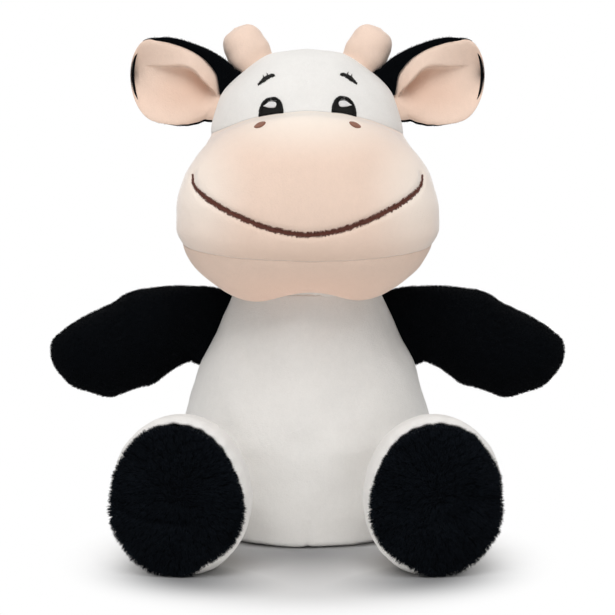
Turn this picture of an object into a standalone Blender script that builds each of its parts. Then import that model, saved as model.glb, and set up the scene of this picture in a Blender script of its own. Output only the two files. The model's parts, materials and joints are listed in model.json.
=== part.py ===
"""A seated plush cow, built as it is sewn.

Fabric panels lie over fibre fill, a pellet pouch weighs the seat down, and the
head, arms, legs, ears and tail move at their seams. Metres, +Z up. The cow
faces -Y and its left side is +X. The origin is on the floor, in the middle of
the flat seat. Heights of the head are measured from the neck's centre.
"""

import math

import bpy
import bmesh
from mathutils import Matrix, Vector
from mathutils.bvhtree import BVHTree

# Clearances and cloth
GAP = 0.0003
CLOTH = 0.0012
FILL_SLACK = 0.0009
FLOOR_CUT = 0.0012
MERGE = 0.0000001
SHARP_ANGLE = math.radians(50)
SHORT_STEP_SHARE = 0.25

# Torso
TORSO_HEIGHT = 0.116
TORSO_HALF_WIDTH = 0.060
TORSO_FRONT = 0.052
TORSO_BACK = 0.045
BASE_THICKNESS = 0.0015
POUCH_HALF_WIDTH = 0.026
POUCH_HEIGHT = 0.022

# Neck
NECK_RADIUS = 0.0305
NECK_LIP = 0.0014
HEAD_RIM_RISE = 0.0068
HEAD_LIP = 0.0008

# Head
HEAD_HEIGHT = 0.1123
HEAD_HALF_WIDTH = 0.046
HEAD_BACK = 0.046
MUZZLE_FRONT = 0.0715
MUZZLE_BULGE = 0.023
JOWL_DROP = 0.0070

# Face embroidery
THREAD = 0.0008
THREAD_SEAT = 0.0005
GLINT_THREAD = 0.0004
EYE_SPREAD = 0.0164
EYE_WIDTH = 0.0112
EYE_HEIGHT = 0.0081
EYE_RISE = 0.0006
GLINT_WIDTH = 0.0048
GLINT_HEIGHT = 0.0026
BROW_RISE = 0.0132
BROW_LENGTH = 0.0074
BROW_WIDTH = 0.0015
NOSTRIL_SPREAD = 0.0212
NOSTRIL_LENGTH = 0.0058
NOSTRIL_WIDTH = 0.0023
NOSTRIL_SLANT = math.radians(23)
NOSTRIL_HEIGHT_SHARE = 0.691
SMILE_HALF_WIDTH = 0.0508
SMILE_RISE_SHARE = 0.2253
SMILE_HEIGHT_SHARE = 0.2725
SMILE_STITCH = 0.0025
GLINT_PLACE_SHARES = (0.02, 0.55)
BROW_PLACE_SHARES = (0.19, 0.58, 0.10)

# Horns
HORN_SPREAD = 0.0247
HORN_SETBACK = 0.006
HORN_LENGTH = 0.0190
HORN_RADIUS = 0.0103
HORN_LEAN = math.radians(30)
HORN_SEAT = 0.0005
HORN_FOOT_SHARES = (0.0, 0.5, 1.0)

# Ears
EAR_REACH = 0.0413
EAR_HALF_HEIGHT = 0.0206
EAR_RISE = 0.0088
EAR_CUP = 0.007
EAR_ROOT_HALF = 0.0125
EAR_HEIGHT_SHARE = 0.788
EAR_EDGE = 0.0015
EAR_ROOM = 0.0006
EAR_BACK_CLOTH = 0.0018
EAR_BORDER = 0.0012
EAR_TIP_SHARE = 0.35
EAR_RISE_POWER = 0.75
EAR_UPRIGHT_SHARE = 0.5
EAR_CUP_SHARE = 0.625

# Arms
ARM_HEIGHT = 0.0963
ARM_TILT = math.radians(25)
ARM_ROOT_HALF = 0.0203
ARM_REACH = 0.0745
ARM_DROP = 0.0140
ARM_HALF_HEIGHT = 0.0234
ARM_HALF_DEPTH = 0.0195
ARM_EDGE = 0.003
ARM_UPRIGHT_SHARE = 0.3
ROOT_CORNER_SHARE = 0.06
ROOT_BEND_SHARES = (1.0, 0.62, 0.0)

# Legs
LEG_HEIGHT = 0.029
HIP_ANGLE = math.radians(38)
LEG_SPLAY = math.radians(6.5)
LEG_ROOT_HALF = 0.017
LEG_LENGTH = 0.066
LEG_HALF_WIDTH = 0.0311
LEG_HALF_HEIGHT = 0.0348
LEG_TURN_SHARE = 0.8
LEG_EDGE = 0.003
SOLE_THICKNESS = 0.0022
SOLE_CROWN = 0.0035

# Tail
TAIL_HEIGHT = 0.040
TAIL_RADIUS = 0.0036
TAIL_REACH = 0.0115
TAIL_DROP = 0.0225
TUFT_LENGTH = 0.0165
TUFT_RADIUS = 0.0068
TAIL_BEND_SHARES = (1.0, 0.66, 0.33)

# Mesh counts
FRONT_STEPS = 20
BACK_STEPS = 14
TORSO_STEPS = 14
TORSO_ROWS = 12
CROWN_ROWS = 7
MUZZLE_ROWS = 10
CHIN_ROWS = 6
RECESS_ROWS = 5
NECK_ROWS = 12
EYE_ROWS = 3
EYE_STEPS = 10
GLINT_STEPS = 6
BROW_STEPS = 6
NOSTRIL_STEPS = 8
SMILE_STEPS = 5
HORN_ROWS = 7
HORN_STEPS = 12
SEAM_STEPS = 8
EAR_ROWS = 8
EAR_STEPS = 8
ARM_STEPS = 8
ARM_ROWS = 12
LEG_STEPS = 20
LEG_ROWS = 9
TAIL_ROWS = 8
TAIL_STEPS = 10
TUFT_ROWS = 6
TUFT_STEPS = 12

# Share of the torso's height, half width, front depth and back depth
TORSO_SHARES = (
    (0.000, 0.70, 0.76, 0.66),
    (0.033, 0.79, 0.86, 0.79),
    (0.128, 0.915, 0.95, 0.91),
    (0.256, 0.99, 0.99, 0.98),
    (0.379, 1.00, 1.00, 1.00),
    (0.493, 0.96, 0.94, 0.97),
    (0.597, 0.905, 0.865, 0.93),
    (0.702, 0.842, 0.78, 0.87),
    (0.797, 0.745, 0.72, 0.82),
    (0.882, 0.668, 0.675, 0.775),
    (0.948, 0.605, 0.66, 0.75),
)
POUCH_SHARES = ((0.0, 1.0), (0.45, 0.96), (0.78, 0.80), (0.97, 0.50), (1.0, 0.22), (0.94, 0.0))

# Share of the head's height at the side seam, of its half width there, of the
# muzzle's bulge and forward reach, of the head's height that the front line
# lies above the side, of the back's depth, and of the jowls' drop
HEAD_SHARES = (
    (1.000, 0.00, 0.00, 0.000, 0.000, 0.00, 0.0),
    (0.973, 0.37, 0.00, 0.210, -0.004, 0.35, 0.0),
    (0.899, 0.66, 0.00, 0.375, 0.000, 0.62, 0.0),
    (0.801, 0.875, 0.02, 0.490, 0.014, 0.82, 0.0),
    (0.641, 0.985, 0.04, 0.585, 0.115, 0.95, 0.0),
    (0.606, 0.985, 0.20, 0.740, 0.118, 0.97, 0.0),
    (0.534, 0.975, 0.575, 0.867, 0.120, 0.99, 0.0),
    (0.445, 0.985, 0.88, 0.965, 0.090, 1.00, 0.0),
    (0.347, 1.00, 1.00, 1.000, 0.026, 0.99, 0.0),
    (0.285, 1.00, 1.00, 0.980, -0.026, 0.97, 0.0),
    (0.231, 0.985, 0.90, 0.923, -0.072, 0.94, 0.0),
    (0.151, 0.92, 0.79, 0.800, -0.080, 0.88, 0.3),
    (0.040, 0.80, 0.30, 0.620, -0.016, 0.80, 1.0),
)
MUZZLE_SEAM_ROW = 4
CHIN_SEAM_ROW = 10

# Share of the arm's height, depth and drop against its run from root to tip
ARM_SHARES = (
    (0.00, 0.842, 0.154, 0.00),
    (0.06, 0.90, 0.45, 0.04),
    (0.12, 0.955, 0.66, 0.16),
    (0.20, 1.02, 0.88, 0.32),
    (0.29, 1.00, 1.00, 0.43),
    (0.36, 1.00, 1.00, 0.61),
    (0.43, 0.955, 0.97, 0.85),
    (0.575, 0.77, 0.86, 0.94),
    (0.67, 0.65, 0.76, 0.98),
    (0.78, 0.44, 0.57, 0.94),
    (0.90, 0.24, 0.32, 0.86),
    (1.00, 0.00, 0.00, 0.85),
)

# Share of the leg's half width and half height against its run from hip to sole
LEG_SHARES = (
    (0.00, 0.547, 0.085),
    (0.10, 0.60, 0.19),
    (0.25, 0.71, 0.45),
    (0.45, 0.87, 0.79),
    (0.62, 0.955, 0.98),
    (0.78, 0.99, 1.045),
    (0.92, 1.00, 1.03),
    (1.00, 0.97, 0.97),
)

# Share of the sole's half width and half height, and steps through its thickness and then its crown
SOLE_SHARES = ((0.0, 0.0), (0.955, 0.0), (0.965, 0.4), (0.94, 1.0), (0.81, 1.5), (0.48, 1.87), (0.0, 2.0))

HORN_SHARES = (
    (0.00, 0.90),
    (0.30, 1.00),
    (0.55, 0.98),
    (0.75, 0.86),
    (0.90, 0.61),
    (1.00, 0.00),
)

EAR_SHARES = (
    (0.00, 0.65),
    (0.12, 0.78),
    (0.30, 0.91),
    (0.52, 1.00),
    (0.72, 0.93),
    (0.86, 0.72),
    (0.95, 0.45),
    (1.00, 0.00),
)

TUFT_SHARES = (
    (0.00, 0.50),
    (0.30, 0.90),
    (0.55, 1.00),
    (0.80, 0.68),
    (1.00, 0.00),
)

# Share of the smile's half width and rise, from its middle to its end
SMILE_SHARES = (
    (0.00, 0.00),
    (0.28, 0.08),
    (0.56, 0.28),
    (0.84, 0.57),
    (0.98, 0.80),
    (1.00, 1.00),
)

COLOURS = {
    "white_minky": (0.84, 0.82, 0.79, 0.85),
    "cream_minky": (0.86, 0.72, 0.60, 0.85),
    "black_minky": (0.008, 0.009, 0.011, 0.9),
    "black_fur": (0.010, 0.011, 0.013, 0.95),
    "fibre_fill": (0.85, 0.85, 0.84, 0.95),
    "pellet_cloth": (0.70, 0.70, 0.68, 0.8),
    "black_thread": (0.015, 0.015, 0.015, 0.5),
    "white_thread": (0.75, 0.72, 0.70, 0.5),
    "brown_thread": (0.09, 0.035, 0.025, 0.5),
    "rose_thread": (0.26, 0.12, 0.085, 0.5),
}


def clear_scene():
    for item in list(bpy.data.objects):
        bpy.data.objects.remove(item, do_unlink=True)


def material(name):
    found = bpy.data.materials.get(name)
    if found:
        return found
    red, green, blue, rough = COLOURS[name]
    made = bpy.data.materials.new(name)
    made.use_nodes = True
    shader = made.node_tree.nodes["Principled BSDF"]
    shader.inputs["Base Color"].default_value = (red, green, blue, 1.0)
    shader.inputs["Roughness"].default_value = rough
    shader.inputs["Metallic"].default_value = 0.0
    return made


def read_shares(table, place):
    """Values of a table at a place, by a cubic that never overshoots its rows."""
    rows = list(table)
    if rows[0][0] > rows[-1][0]:
        rows.reverse()
    place = min(max(place, rows[0][0]), rows[-1][0])
    low = 0
    while low < len(rows) - 2 and place > rows[low + 1][0]:
        low += 1
    values = []
    width = rows[low + 1][0] - rows[low][0]
    part = (place - rows[low][0]) / width
    for column in range(1, len(rows[0])):
        start = rows[low][column]
        stop = rows[low + 1][column]
        slopes = [row_slope(rows, low, column), row_slope(rows, low + 1, column)]
        square = part * part
        cube = square * part
        value = (2 * cube - 3 * square + 1) * start + (3 * square - 2 * cube) * stop
        value += (cube - 2 * square + part) * width * slopes[0]
        value += (cube - square) * width * slopes[1]
        values.append(value)
    return values


def row_slope(rows, index, column):
    """Slope of a column at a row: the harmonic mean of its two sides, or none at a peak."""
    def side(low):
        return (rows[low + 1][column] - rows[low][column]) / (rows[low + 1][0] - rows[low][0])
    if index == 0:
        return side(0)
    if index == len(rows) - 1:
        return side(index - 1)
    before = side(index - 1)
    after = side(index)
    if before * after <= 0:
        return 0.0
    return 2 * before * after / (before + after)


def spread(count):
    return [step / count for step in range(count + 1)]


def quads(grid, wrap=False):
    """Corner points of each cell of a grid of points."""
    cells = []
    for row, below in zip(grid, grid[1:]):
        last = len(row) if wrap else len(row) - 1
        for column in range(last):
            after = (column + 1) % len(row)
            cells.append((row[column], row[after], below[after], below[column]))
    return cells


def edge_strip(first, second, wrap=False):
    return quads([first, second], wrap)


def solid(name, cells, colour):
    """Weld the cells into one closed body and put it in the scene."""
    shape = bmesh.new()
    known = {}

    def corner(point):
        key = tuple(round(value / MERGE) for value in point)
        if key not in known:
            known[key] = shape.verts.new(point)
        return known[key]

    for cell in cells:
        ring = []
        for point in cell:
            vertex = corner(point)
            if vertex not in ring:
                ring.append(vertex)
        if len(ring) > 2 and not shape.faces.get(ring):
            shape.faces.new(ring)
    bmesh.ops.recalc_face_normals(shape, faces=shape.faces)
    if shape.calc_volume(signed=True) < 0:
        bmesh.ops.reverse_faces(shape, faces=shape.faces)
    mesh = bpy.data.meshes.new(name)
    shape.to_mesh(mesh)
    shape.free()
    mesh.shade_smooth()
    mesh.set_sharp_from_angle(angle=SHARP_ANGLE)
    mesh.materials.append(material(colour))
    made = bpy.data.objects.new(name, mesh)
    bpy.context.scene.collection.objects.link(made)
    return made


def inward(grid, depth, wrap=False):
    """The grid moved along its own normals, towards the inside, by a depth."""
    rows = len(grid)
    columns = len(grid[0])
    sums = [[Vector() for _ in range(columns)] for _ in range(rows)]
    for row in range(rows - 1):
        for column in range(columns if wrap else columns - 1):
            after = (column + 1) % columns
            corners = (grid[row][column], grid[row][after], grid[row + 1][after], grid[row + 1][column])
            normal = (corners[2] - corners[0]).cross(corners[3] - corners[1])
            for place in ((row, column), (row, after), (row + 1, after), (row + 1, column)):
                sums[place[0]][place[1]] += normal
    for row in (0, rows - 1):
        if (grid[row][0] - grid[row][columns // 2]).length < MERGE:
            whole = sum(sums[row], Vector())
            sums[row] = [whole for _ in range(columns)]
    middle = sum((point for line in grid for point in line), Vector()) / (rows * columns)
    facing = sum((sums[row][column].dot(grid[row][column] - middle))
                 for row in range(rows) for column in range(columns))
    sign = 1.0 if facing > 0 else -1.0
    return [[grid[row][column] - sums[row][column].normalized() * (depth * sign)
             for column in range(columns)] for row in range(rows)]


def trim(grid, first_row=True, last_row=True, sides=True):
    """Draw a panel's edges back by half the gap, so that it clears the next panel."""
    half = GAP / 2
    lines = [list(row) for row in grid]
    if first_row:
        lines[0] = [step_towards(a, b, half) for a, b in zip(lines[0], lines[1])]
    if last_row:
        lines[-1] = [step_towards(a, b, half) for a, b in zip(lines[-1], lines[-2])]
    if sides:
        for line in lines:
            line[0] = step_towards(line[0], line[1], half)
            line[-1] = step_towards(line[-1], line[-2], half)
    return lines


def step_towards(start, goal, distance):
    way = goal - start
    if way.length <= distance * 2:
        return start.lerp(goal, SHORT_STEP_SHARE)
    return start + way.normalized() * distance


def panel(name, outer, inner, colour):
    """A cloth panel between two open grids."""
    cells = quads(outer) + quads(inner)
    cells += edge_strip(outer[0], inner[0]) + edge_strip(outer[-1], inner[-1])
    cells += edge_strip([row[0] for row in outer], [row[0] for row in inner])
    cells += edge_strip([row[-1] for row in outer], [row[-1] for row in inner])
    return solid(name, cells, colour)


def capped(name, grid, colour, wrap=True):
    """A closed body through rings of points, with a flat cap on an end that isn't a point."""
    cells = quads(grid, wrap)
    for row in (grid[0], grid[-1]):
        middle = sum(row, Vector()) / len(row)
        if (row[0] - middle).length > MERGE:
            for column in range(len(row)):
                cells.append((row[column], row[(column + 1) % len(row)], middle))
    return solid(name, cells, colour)


# Torso

def torso_outline(height_share):
    """Half width, front depth and back depth of the torso at a height."""
    rim = NECK_RADIUS + GAP * 2 + CLOTH + NECK_LIP
    rows = [(share, TORSO_HALF_WIDTH * wide, TORSO_FRONT * front, TORSO_BACK * back)
            for share, wide, front, back in TORSO_SHARES]
    rows.append((1.0, rim, rim, rim))
    return read_shares(rows, height_share)


def torso_point(height_share, angle):
    """A point on the torso. Angle 0 is its left seam, a quarter turn its front."""
    wide, front, back = torso_outline(height_share)
    depth = front if math.sin(angle) > 0 else back
    return Vector((wide * math.cos(angle), -depth * math.sin(angle), TORSO_HEIGHT * height_share))


def half_turn(steps, start=0.0):
    return [start + math.pi * share for share in spread(steps)]


def torso_grid(heights, angles):
    return [[torso_point(height, angle) for angle in angles] for height in heights]


def ball_ring(radius, latitude, angles):
    level = radius * math.sin(latitude)
    across = radius * math.cos(latitude)
    return [neck_centre() + Vector((across * math.cos(a), -across * math.sin(a), level)) for a in angles]


def neck_centre():
    return Vector((0.0, 0.0, TORSO_HEIGHT))


def socket_radius(steps):
    """Radius of a faceted socket whose flats clear the neck ball by the gap."""
    return (NECK_RADIUS + GAP) / math.cos(math.pi / steps) ** 2


def build_torso():
    base_top = (BASE_THICKNESS + GAP) / TORSO_HEIGHT
    heights = [base_top + (1 - base_top) * share for share in spread(TORSO_ROWS)]
    around = half_turn(TORSO_STEPS)[:-1] + half_turn(TORSO_STEPS, math.pi)[:-1]
    whole = torso_grid(heights, around)
    lining = inward(whole, CLOTH, wrap=True)
    core = inward(whole, CLOTH + GAP, wrap=True)
    for name, first in (("torso_front_panel", 0), ("torso_back_panel", TORSO_STEPS)):
        columns = [(first + step) % len(around) for step in range(TORSO_STEPS + 1)]
        outer = trim([[row[c] for c in columns] for row in whole], first_row=False, last_row=False)
        inner = trim([[row[c] for c in columns] for row in lining], first_row=False, last_row=False)
        panel(name, outer, inner, "white_minky")
    build_base()
    build_torso_fill(core)


def build_base():
    """The flat oval panel that the cow sits on."""
    top = BASE_THICKNESS / TORSO_HEIGHT
    around = half_turn(TORSO_STEPS)[:-1] + half_turn(TORSO_STEPS, math.pi)[:-1]
    upper = [torso_point(top, angle) for angle in around]
    lower = [Vector((point.x, point.y, 0.0)) for point in torso_grid([0.0], around)[0]]
    capped("torso_base_panel", [lower, upper], "white_minky")


def build_torso_fill(core):
    """Fibre fill with a round seat for the neck above and a hollow for the pellet pouch below."""
    rings = [list(row) for row in core]
    angles = [2 * math.pi * step / len(rings[0]) for step in range(len(rings[0]))]
    radius = socket_radius(len(rings[0]))
    rings[-1] = [Vector((p.x, p.y, TORSO_HEIGHT)) for p in rings[-1]]
    seat = [ball_ring(radius, -math.pi / 2 * share, angles) for share in spread(RECESS_ROWS)]
    floor = rings[0][0].z
    rings[0] = [Vector((p.x, p.y, floor)) for p in rings[0]]
    room = GAP / math.cos(math.pi / len(angles))
    pocket = []
    for wide_share, height_share in POUCH_SHARES:
        level = floor + (POUCH_HEIGHT + room) * height_share
        across = (POUCH_HALF_WIDTH + room) * wide_share / math.cos(math.pi / len(angles))
        pocket.append([Vector((across * math.cos(a), -across * math.sin(a), level)) for a in angles])
    capped("torso_stuffing", pocket + rings + seat, "fibre_fill")
    bag = []
    for wide_share, height_share in POUCH_SHARES[::-1]:
        level = floor + POUCH_HEIGHT * height_share
        across = POUCH_HALF_WIDTH * wide_share
        bag.append([Vector((across * math.cos(a), -across * math.sin(a), level)) for a in angles])
    capped("pellet_pouch", bag, "pellet_cloth")


# Head

def head_rows():
    """The head's table in real sizes, with its rim set by the neck ball."""
    rim = NECK_RADIUS * math.cos(math.asin(HEAD_RIM_RISE / NECK_RADIUS)) + GAP * 2 + CLOTH + HEAD_LIP
    rows = []
    for side, wide, bulge, front, lift, back, jowl in HEAD_SHARES:
        rows.append((HEAD_HEIGHT * side, HEAD_HALF_WIDTH * wide, MUZZLE_BULGE * bulge,
                     MUZZLE_FRONT * front, HEAD_HEIGHT * lift, HEAD_BACK * back, JOWL_DROP * jowl))
    rows.append((HEAD_RIM_RISE, rim, 0.0, rim, 0.0, rim, 0.0))
    return [(index, *row) for index, row in enumerate(rows)]


def head_point(rows, place, angle):
    """A point on the head. Place counts the table's rows, from the crown down to the rim."""
    side, wide, bulge, front, lift, back, jowl = read_shares(rows, place)
    turn = math.sin(angle)
    if turn >= 0:
        across = wide * math.cos(angle) + bulge * math.sin(2 * angle)
        level = side + lift * turn * turn - jowl * lobe(angle)
        return neck_centre() + Vector((across, -front * turn, level))
    return neck_centre() + Vector((wide * math.cos(angle), -back * turn, side))


def lobe(angle):
    """Depth of a jowl at an angle round the front: full at a third and two thirds of the half turn."""
    peak = math.sin(math.pi / 3) ** 6 * math.cos(math.pi / 3) ** 2
    return math.sin(angle) ** 6 * math.cos(angle) ** 2 / peak


def head_places():
    """Row places with the muzzle's and the chin's seams exactly on a row."""
    last = len(HEAD_SHARES)
    crown = [MUZZLE_SEAM_ROW * share for share in spread(CROWN_ROWS)]
    muzzle = [MUZZLE_SEAM_ROW + (CHIN_SEAM_ROW - MUZZLE_SEAM_ROW) * s for s in spread(MUZZLE_ROWS)]
    chin = [CHIN_SEAM_ROW + (last - CHIN_SEAM_ROW) * s for s in spread(CHIN_ROWS)]
    return crown + muzzle[1:] + chin[1:]


def build_head():
    rows = head_rows()
    places = head_places()
    around = half_turn(FRONT_STEPS)[:-1] + half_turn(BACK_STEPS, math.pi)[:-1]
    whole = [[head_point(rows, place, angle) for angle in around] for place in places]
    lining = inward(whole, CLOTH, wrap=True)
    core = inward(whole, CLOTH + GAP + FILL_SLACK, wrap=True)
    seam_one = CROWN_ROWS
    seam_two = CROWN_ROWS + MUZZLE_ROWS
    last = len(places) - 1
    front = list(range(FRONT_STEPS + 1))
    back = [(FRONT_STEPS + step) % len(around) for step in range(BACK_STEPS + 1)]
    pieces = (
        ("head_crown_panel", 0, seam_one, front, "white_minky"),
        ("muzzle_panel", seam_one, seam_two, front, "cream_minky"),
        ("chin_panel", seam_two, last, front, "cream_minky"),
        ("head_back_panel", 0, last, back, "white_minky"),
    )
    for name, first, final, columns, colour in pieces:
        grids = [[[row[c] for c in columns] for row in grid[first:final + 1]] for grid in (whole, lining)]
        outer, inner = [trim(grid, last_row=final < last) for grid in grids]
        panel(name, outer, inner, colour)
    build_head_fill(core)
    guide = BVHTree.FromPolygons(*guide_mesh(whole))
    return whole, guide


def guide_mesh(whole):
    """Points and faces of the head's closed outer surface, to drape the embroidery on."""
    points = [point for row in whole for point in row]
    count = len(whole[0])
    faces = []
    for row in range(len(whole) - 1):
        for column in range(count):
            after = (column + 1) % count
            faces.append((row * count + column, row * count + after,
                          (row + 1) * count + after, (row + 1) * count + column))
    return points, faces


def build_head_fill(core):
    """Fibre fill with a round seat for the neck ball."""
    rings = [list(row) for row in core]
    steps = len(rings[0])
    angles = [math.atan2(-p.y, p.x) for p in rings[-1]]
    radius = socket_radius(steps)
    level = sum(p.z for p in rings[-1]) / steps - TORSO_HEIGHT
    rim = math.asin(level / radius)
    seat = [ball_ring(radius, rim + (math.pi / 2 - rim) * share, angles) for share in spread(RECESS_ROWS)]
    capped("head_stuffing", rings + seat, "fibre_fill")


def build_neck():
    """The ball of fill inside the neck, which the head tips and turns on."""
    steps = 2 * TORSO_STEPS
    angles = [2 * math.pi * step / steps for step in range(steps)]
    rings = [ball_ring(NECK_RADIUS, math.pi * share - math.pi / 2, angles) for share in spread(NECK_ROWS)]
    capped("neck_fill", rings, "white_minky")


# Embroidery

def draped(name, flat, guide, lift, thickness, colour):
    """A thin plate of stitches over a grid of (x, z) places on the face."""
    under = []
    over = []
    for row in flat:
        low = []
        high = []
        for across, height in row:
            start = Vector((across, -TORSO_HEIGHT - HEAD_HEIGHT, height))
            place, normal, _, _ = guide.ray_cast(start, Vector((0.0, 1.0, 0.0)))
            if place is None:
                raise ValueError(name + " misses the face")
            if normal.y > 0:
                normal = -normal
            low.append(place + normal * lift)
            high.append(place + normal * (lift + thickness))
        under.append(low)
        over.append(high)
    return panel(name, over, under, colour)


def seam_height(row, across):
    """Height of a row of the head's front at a place across."""
    for first, second in zip(row, row[1:FRONT_STEPS + 1]):
        if second.x <= across <= first.x:
            part = (across - first.x) / (second.x - first.x)
            return first.z + part * (second.z - first.z)
    return row[FRONT_STEPS // 2].z


def build_face(whole, guide):
    seam = whole[CROWN_ROWS]
    for side, word in ((1, "left"), (-1, "right")):
        build_eye(side, word, seam, guide)
        build_nostril(side, word, guide)
    build_smile(guide)


def build_eye(side, word, seam, guide):
    """A black arch that stands on the muzzle's seam, its white glint and a short brow."""
    middle = EYE_SPREAD
    rows = []
    for reach in spread(EYE_ROWS):
        row = []
        for turn in half_turn(EYE_STEPS):
            across = middle + EYE_WIDTH / 2 * math.cos(turn)
            level = seam_height(seam, across) + EYE_RISE
            row.append((side * across, level + EYE_HEIGHT * reach * math.sin(turn)))
        rows.append(row)
    draped("eye_" + word, rows, guide, THREAD_SEAT, THREAD, "black_thread")
    centre = seam_height(seam, middle) + EYE_RISE + EYE_HEIGHT * GLINT_PLACE_SHARES[1]
    offset = middle - EYE_WIDTH * GLINT_PLACE_SHARES[0]
    rows = [[(side * (offset + GLINT_WIDTH / 2 * math.cos(turn)),
              centre + GLINT_HEIGHT / 2 * reach * math.sin(turn))
             for turn in half_turn(GLINT_STEPS)] for reach in (-1, 0, 1)]
    draped("eye_glint_" + word, rows, guide, THREAD_SEAT + THREAD + GAP, GLINT_THREAD, "white_thread")
    rows = []
    for edge in (-1, 1):
        row = []
        for share in spread(BROW_STEPS):
            across = middle - BROW_LENGTH * BROW_PLACE_SHARES[0] + BROW_LENGTH * share
            arch = BROW_LENGTH * BROW_PLACE_SHARES[1] * math.sin(math.pi / 2 * (1 - share))
            level = seam_height(seam, middle) + BROW_RISE + arch
            part = BROW_PLACE_SHARES[2] + share * (1 - 2 * BROW_PLACE_SHARES[2])
            taper = BROW_WIDTH / 2 * math.sin(math.pi * part)
            row.append((side * across, level + edge * taper))
        rows.append(row)
    draped("brow_" + word, rows, guide, THREAD_SEAT, THREAD, "black_thread")


def build_nostril(side, word, guide):
    """A slanted almond of stitches, lower at its outer end."""
    middle = TORSO_HEIGHT + HEAD_HEIGHT * NOSTRIL_HEIGHT_SHARE
    rows = []
    for reach in (-1, 0, 1):
        row = []
        for turn in half_turn(NOSTRIL_STEPS):
            along = NOSTRIL_LENGTH / 2 * math.cos(turn)
            across = NOSTRIL_WIDTH / 2 * reach * math.sin(turn)
            place = NOSTRIL_SPREAD + along * math.cos(NOSTRIL_SLANT) - across * math.sin(NOSTRIL_SLANT)
            level = middle - along * math.sin(NOSTRIL_SLANT) + across * math.cos(NOSTRIL_SLANT)
            row.append((side * place, level))
        rows.append(row)
    draped("nostril_" + word, rows, guide, THREAD_SEAT, THREAD, "rose_thread")


def build_smile(guide):
    """One line of satin stitch along a smooth curve from cheek to cheek."""
    middle = TORSO_HEIGHT + HEAD_HEIGHT * SMILE_HEIGHT_SHARE
    tall = HEAD_HEIGHT * SMILE_RISE_SHARE
    half = [Vector((SMILE_HALF_WIDTH * wide, 0.0, tall * rise)) for wide, rise in SMILE_SHARES]
    route = [Vector((-p.x, 0.0, p.z)) for p in half[:0:-1]] + half
    route = smooth_route(route, SMILE_STEPS)
    rows = []
    for edge in (-1, 0, 1):
        row = []
        for index, point in enumerate(route):
            before = route[max(index - 1, 0)]
            after = route[min(index + 1, len(route) - 1)]
            along = (after - before).normalized()
            side = Vector((-along.z, 0.0, along.x)) * (SMILE_STITCH / 2 * edge)
            place = point + side
            row.append((place.x, middle + place.z))
        rows.append(row)
    draped("smile_line", rows, guide, THREAD_SEAT, THREAD, "brown_thread")


def smooth_route(points, steps):
    """A Catmull-Rom curve through points, with some steps between each two."""
    made = []
    for index in range(len(points) - 1):
        before = points[max(index - 1, 0)]
        start = points[index]
        stop = points[index + 1]
        after = points[min(index + 2, len(points) - 1)]
        for step in range(steps):
            t = step / steps
            made.append(0.5 * (2 * start + (stop - before) * t
                               + (2 * before - 5 * start + 4 * stop - after) * t * t
                               + (3 * start - before - 3 * stop + after) * t * t * t))
    made.append(points[-1])
    return made


# Horns

def horn_rings(side, guide, inset):
    """Rings of a horn: two across its foot, one round the foot's edge, and the rest up to its tip."""
    lean = Vector((side * math.sin(HORN_LEAN), 0.0, math.cos(HORN_LEAN)))
    across = Vector((math.cos(HORN_LEAN), 0.0, -side * math.sin(HORN_LEAN)))
    deep = Vector((0.0, 1.0, 0.0))
    top = TORSO_HEIGHT + HEAD_HEIGHT * 2
    foot, _, _, _ = guide.ray_cast(Vector((side * HORN_SPREAD, HORN_SETBACK, top)), Vector((0.0, 0.0, -1.0)))
    rings = []
    for share in spread(HORN_ROWS):
        run = math.sin(math.pi / 2 * share)
        radius = HORN_RADIUS * read_shares(HORN_SHARES, run)[0]
        radius = max(radius - inset, 0.0) if share < 1 else 0.0
        centre = foot + lean * ((HORN_LENGTH - inset) * run)
        ring = [centre + across * (radius * math.cos(a)) + deep * (radius * math.sin(a))
                for a in [2 * math.pi * step / HORN_STEPS for step in range(HORN_STEPS)]]
        rings.append(ring)
    middle = sum(rings[0], Vector()) / len(rings[0])
    seated = []
    for reach in HORN_FOOT_SHARES:
        seated.append([])
        for point in rings[0]:
            start = middle.lerp(point, reach) + lean * HORN_LENGTH
            place, _, _, _ = guide.ray_cast(start, -lean)
            seated[-1].append(place + lean * HORN_SEAT)
    return seated + rings[1:]


def build_horns(guide):
    for side, word in ((1, "left"), (-1, "right")):
        outer = horn_rings(side, guide, 0.0)[2:]
        inner = horn_rings(side, guide, CLOTH)[2:]
        cells = quads(outer, True) + quads(inner, True) + edge_strip(outer[0], inner[0], True)
        solid("horn_" + word, cells, "cream_minky")
        core = horn_rings(side, guide, CLOTH + GAP)
        capped("horn_stuffing_" + word, core, "fibre_fill")


# Seams that pieces hang on

def seam_line(point_at, low, high, room):
    """A straight line close outside a curved side seam, clear of it by some room."""
    points = [point_at(low + (high - low) * share) for share in spread(SEAM_STEPS)]
    along = (points[-1] - points[0]).normalized()
    out = Vector((along.z, 0.0, -along.x))
    if out.x < 0:
        out = -out
    reach = max((point - points[0]).dot(out) for point in points)
    shift = out * (reach + room)
    return points[0] + shift, points[-1] + shift, along, out


def arm_seam():
    half = ARM_ROOT_HALF * math.cos(ARM_TILT)
    low = (ARM_HEIGHT - half) / TORSO_HEIGHT
    high = (ARM_HEIGHT + half) / TORSO_HEIGHT
    return seam_line(lambda share: torso_point(share, 0.0), low, high, ARM_EDGE + GAP)


def head_side(rows, level):
    """The head's left side seam at a height above the neck's centre."""
    sides = sorted((row[1], row[2]) for row in rows)
    return neck_centre() + Vector((read_shares(sides, level)[0], 0.0, level))


def ear_seam():
    rows = head_rows()
    middle = HEAD_HEIGHT * EAR_HEIGHT_SHARE
    low = middle - EAR_ROOT_HALF
    high = middle + EAR_ROOT_HALF
    return seam_line(lambda level: head_side(rows, level), low, high, EAR_EDGE + EAR_ROOM)


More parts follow.
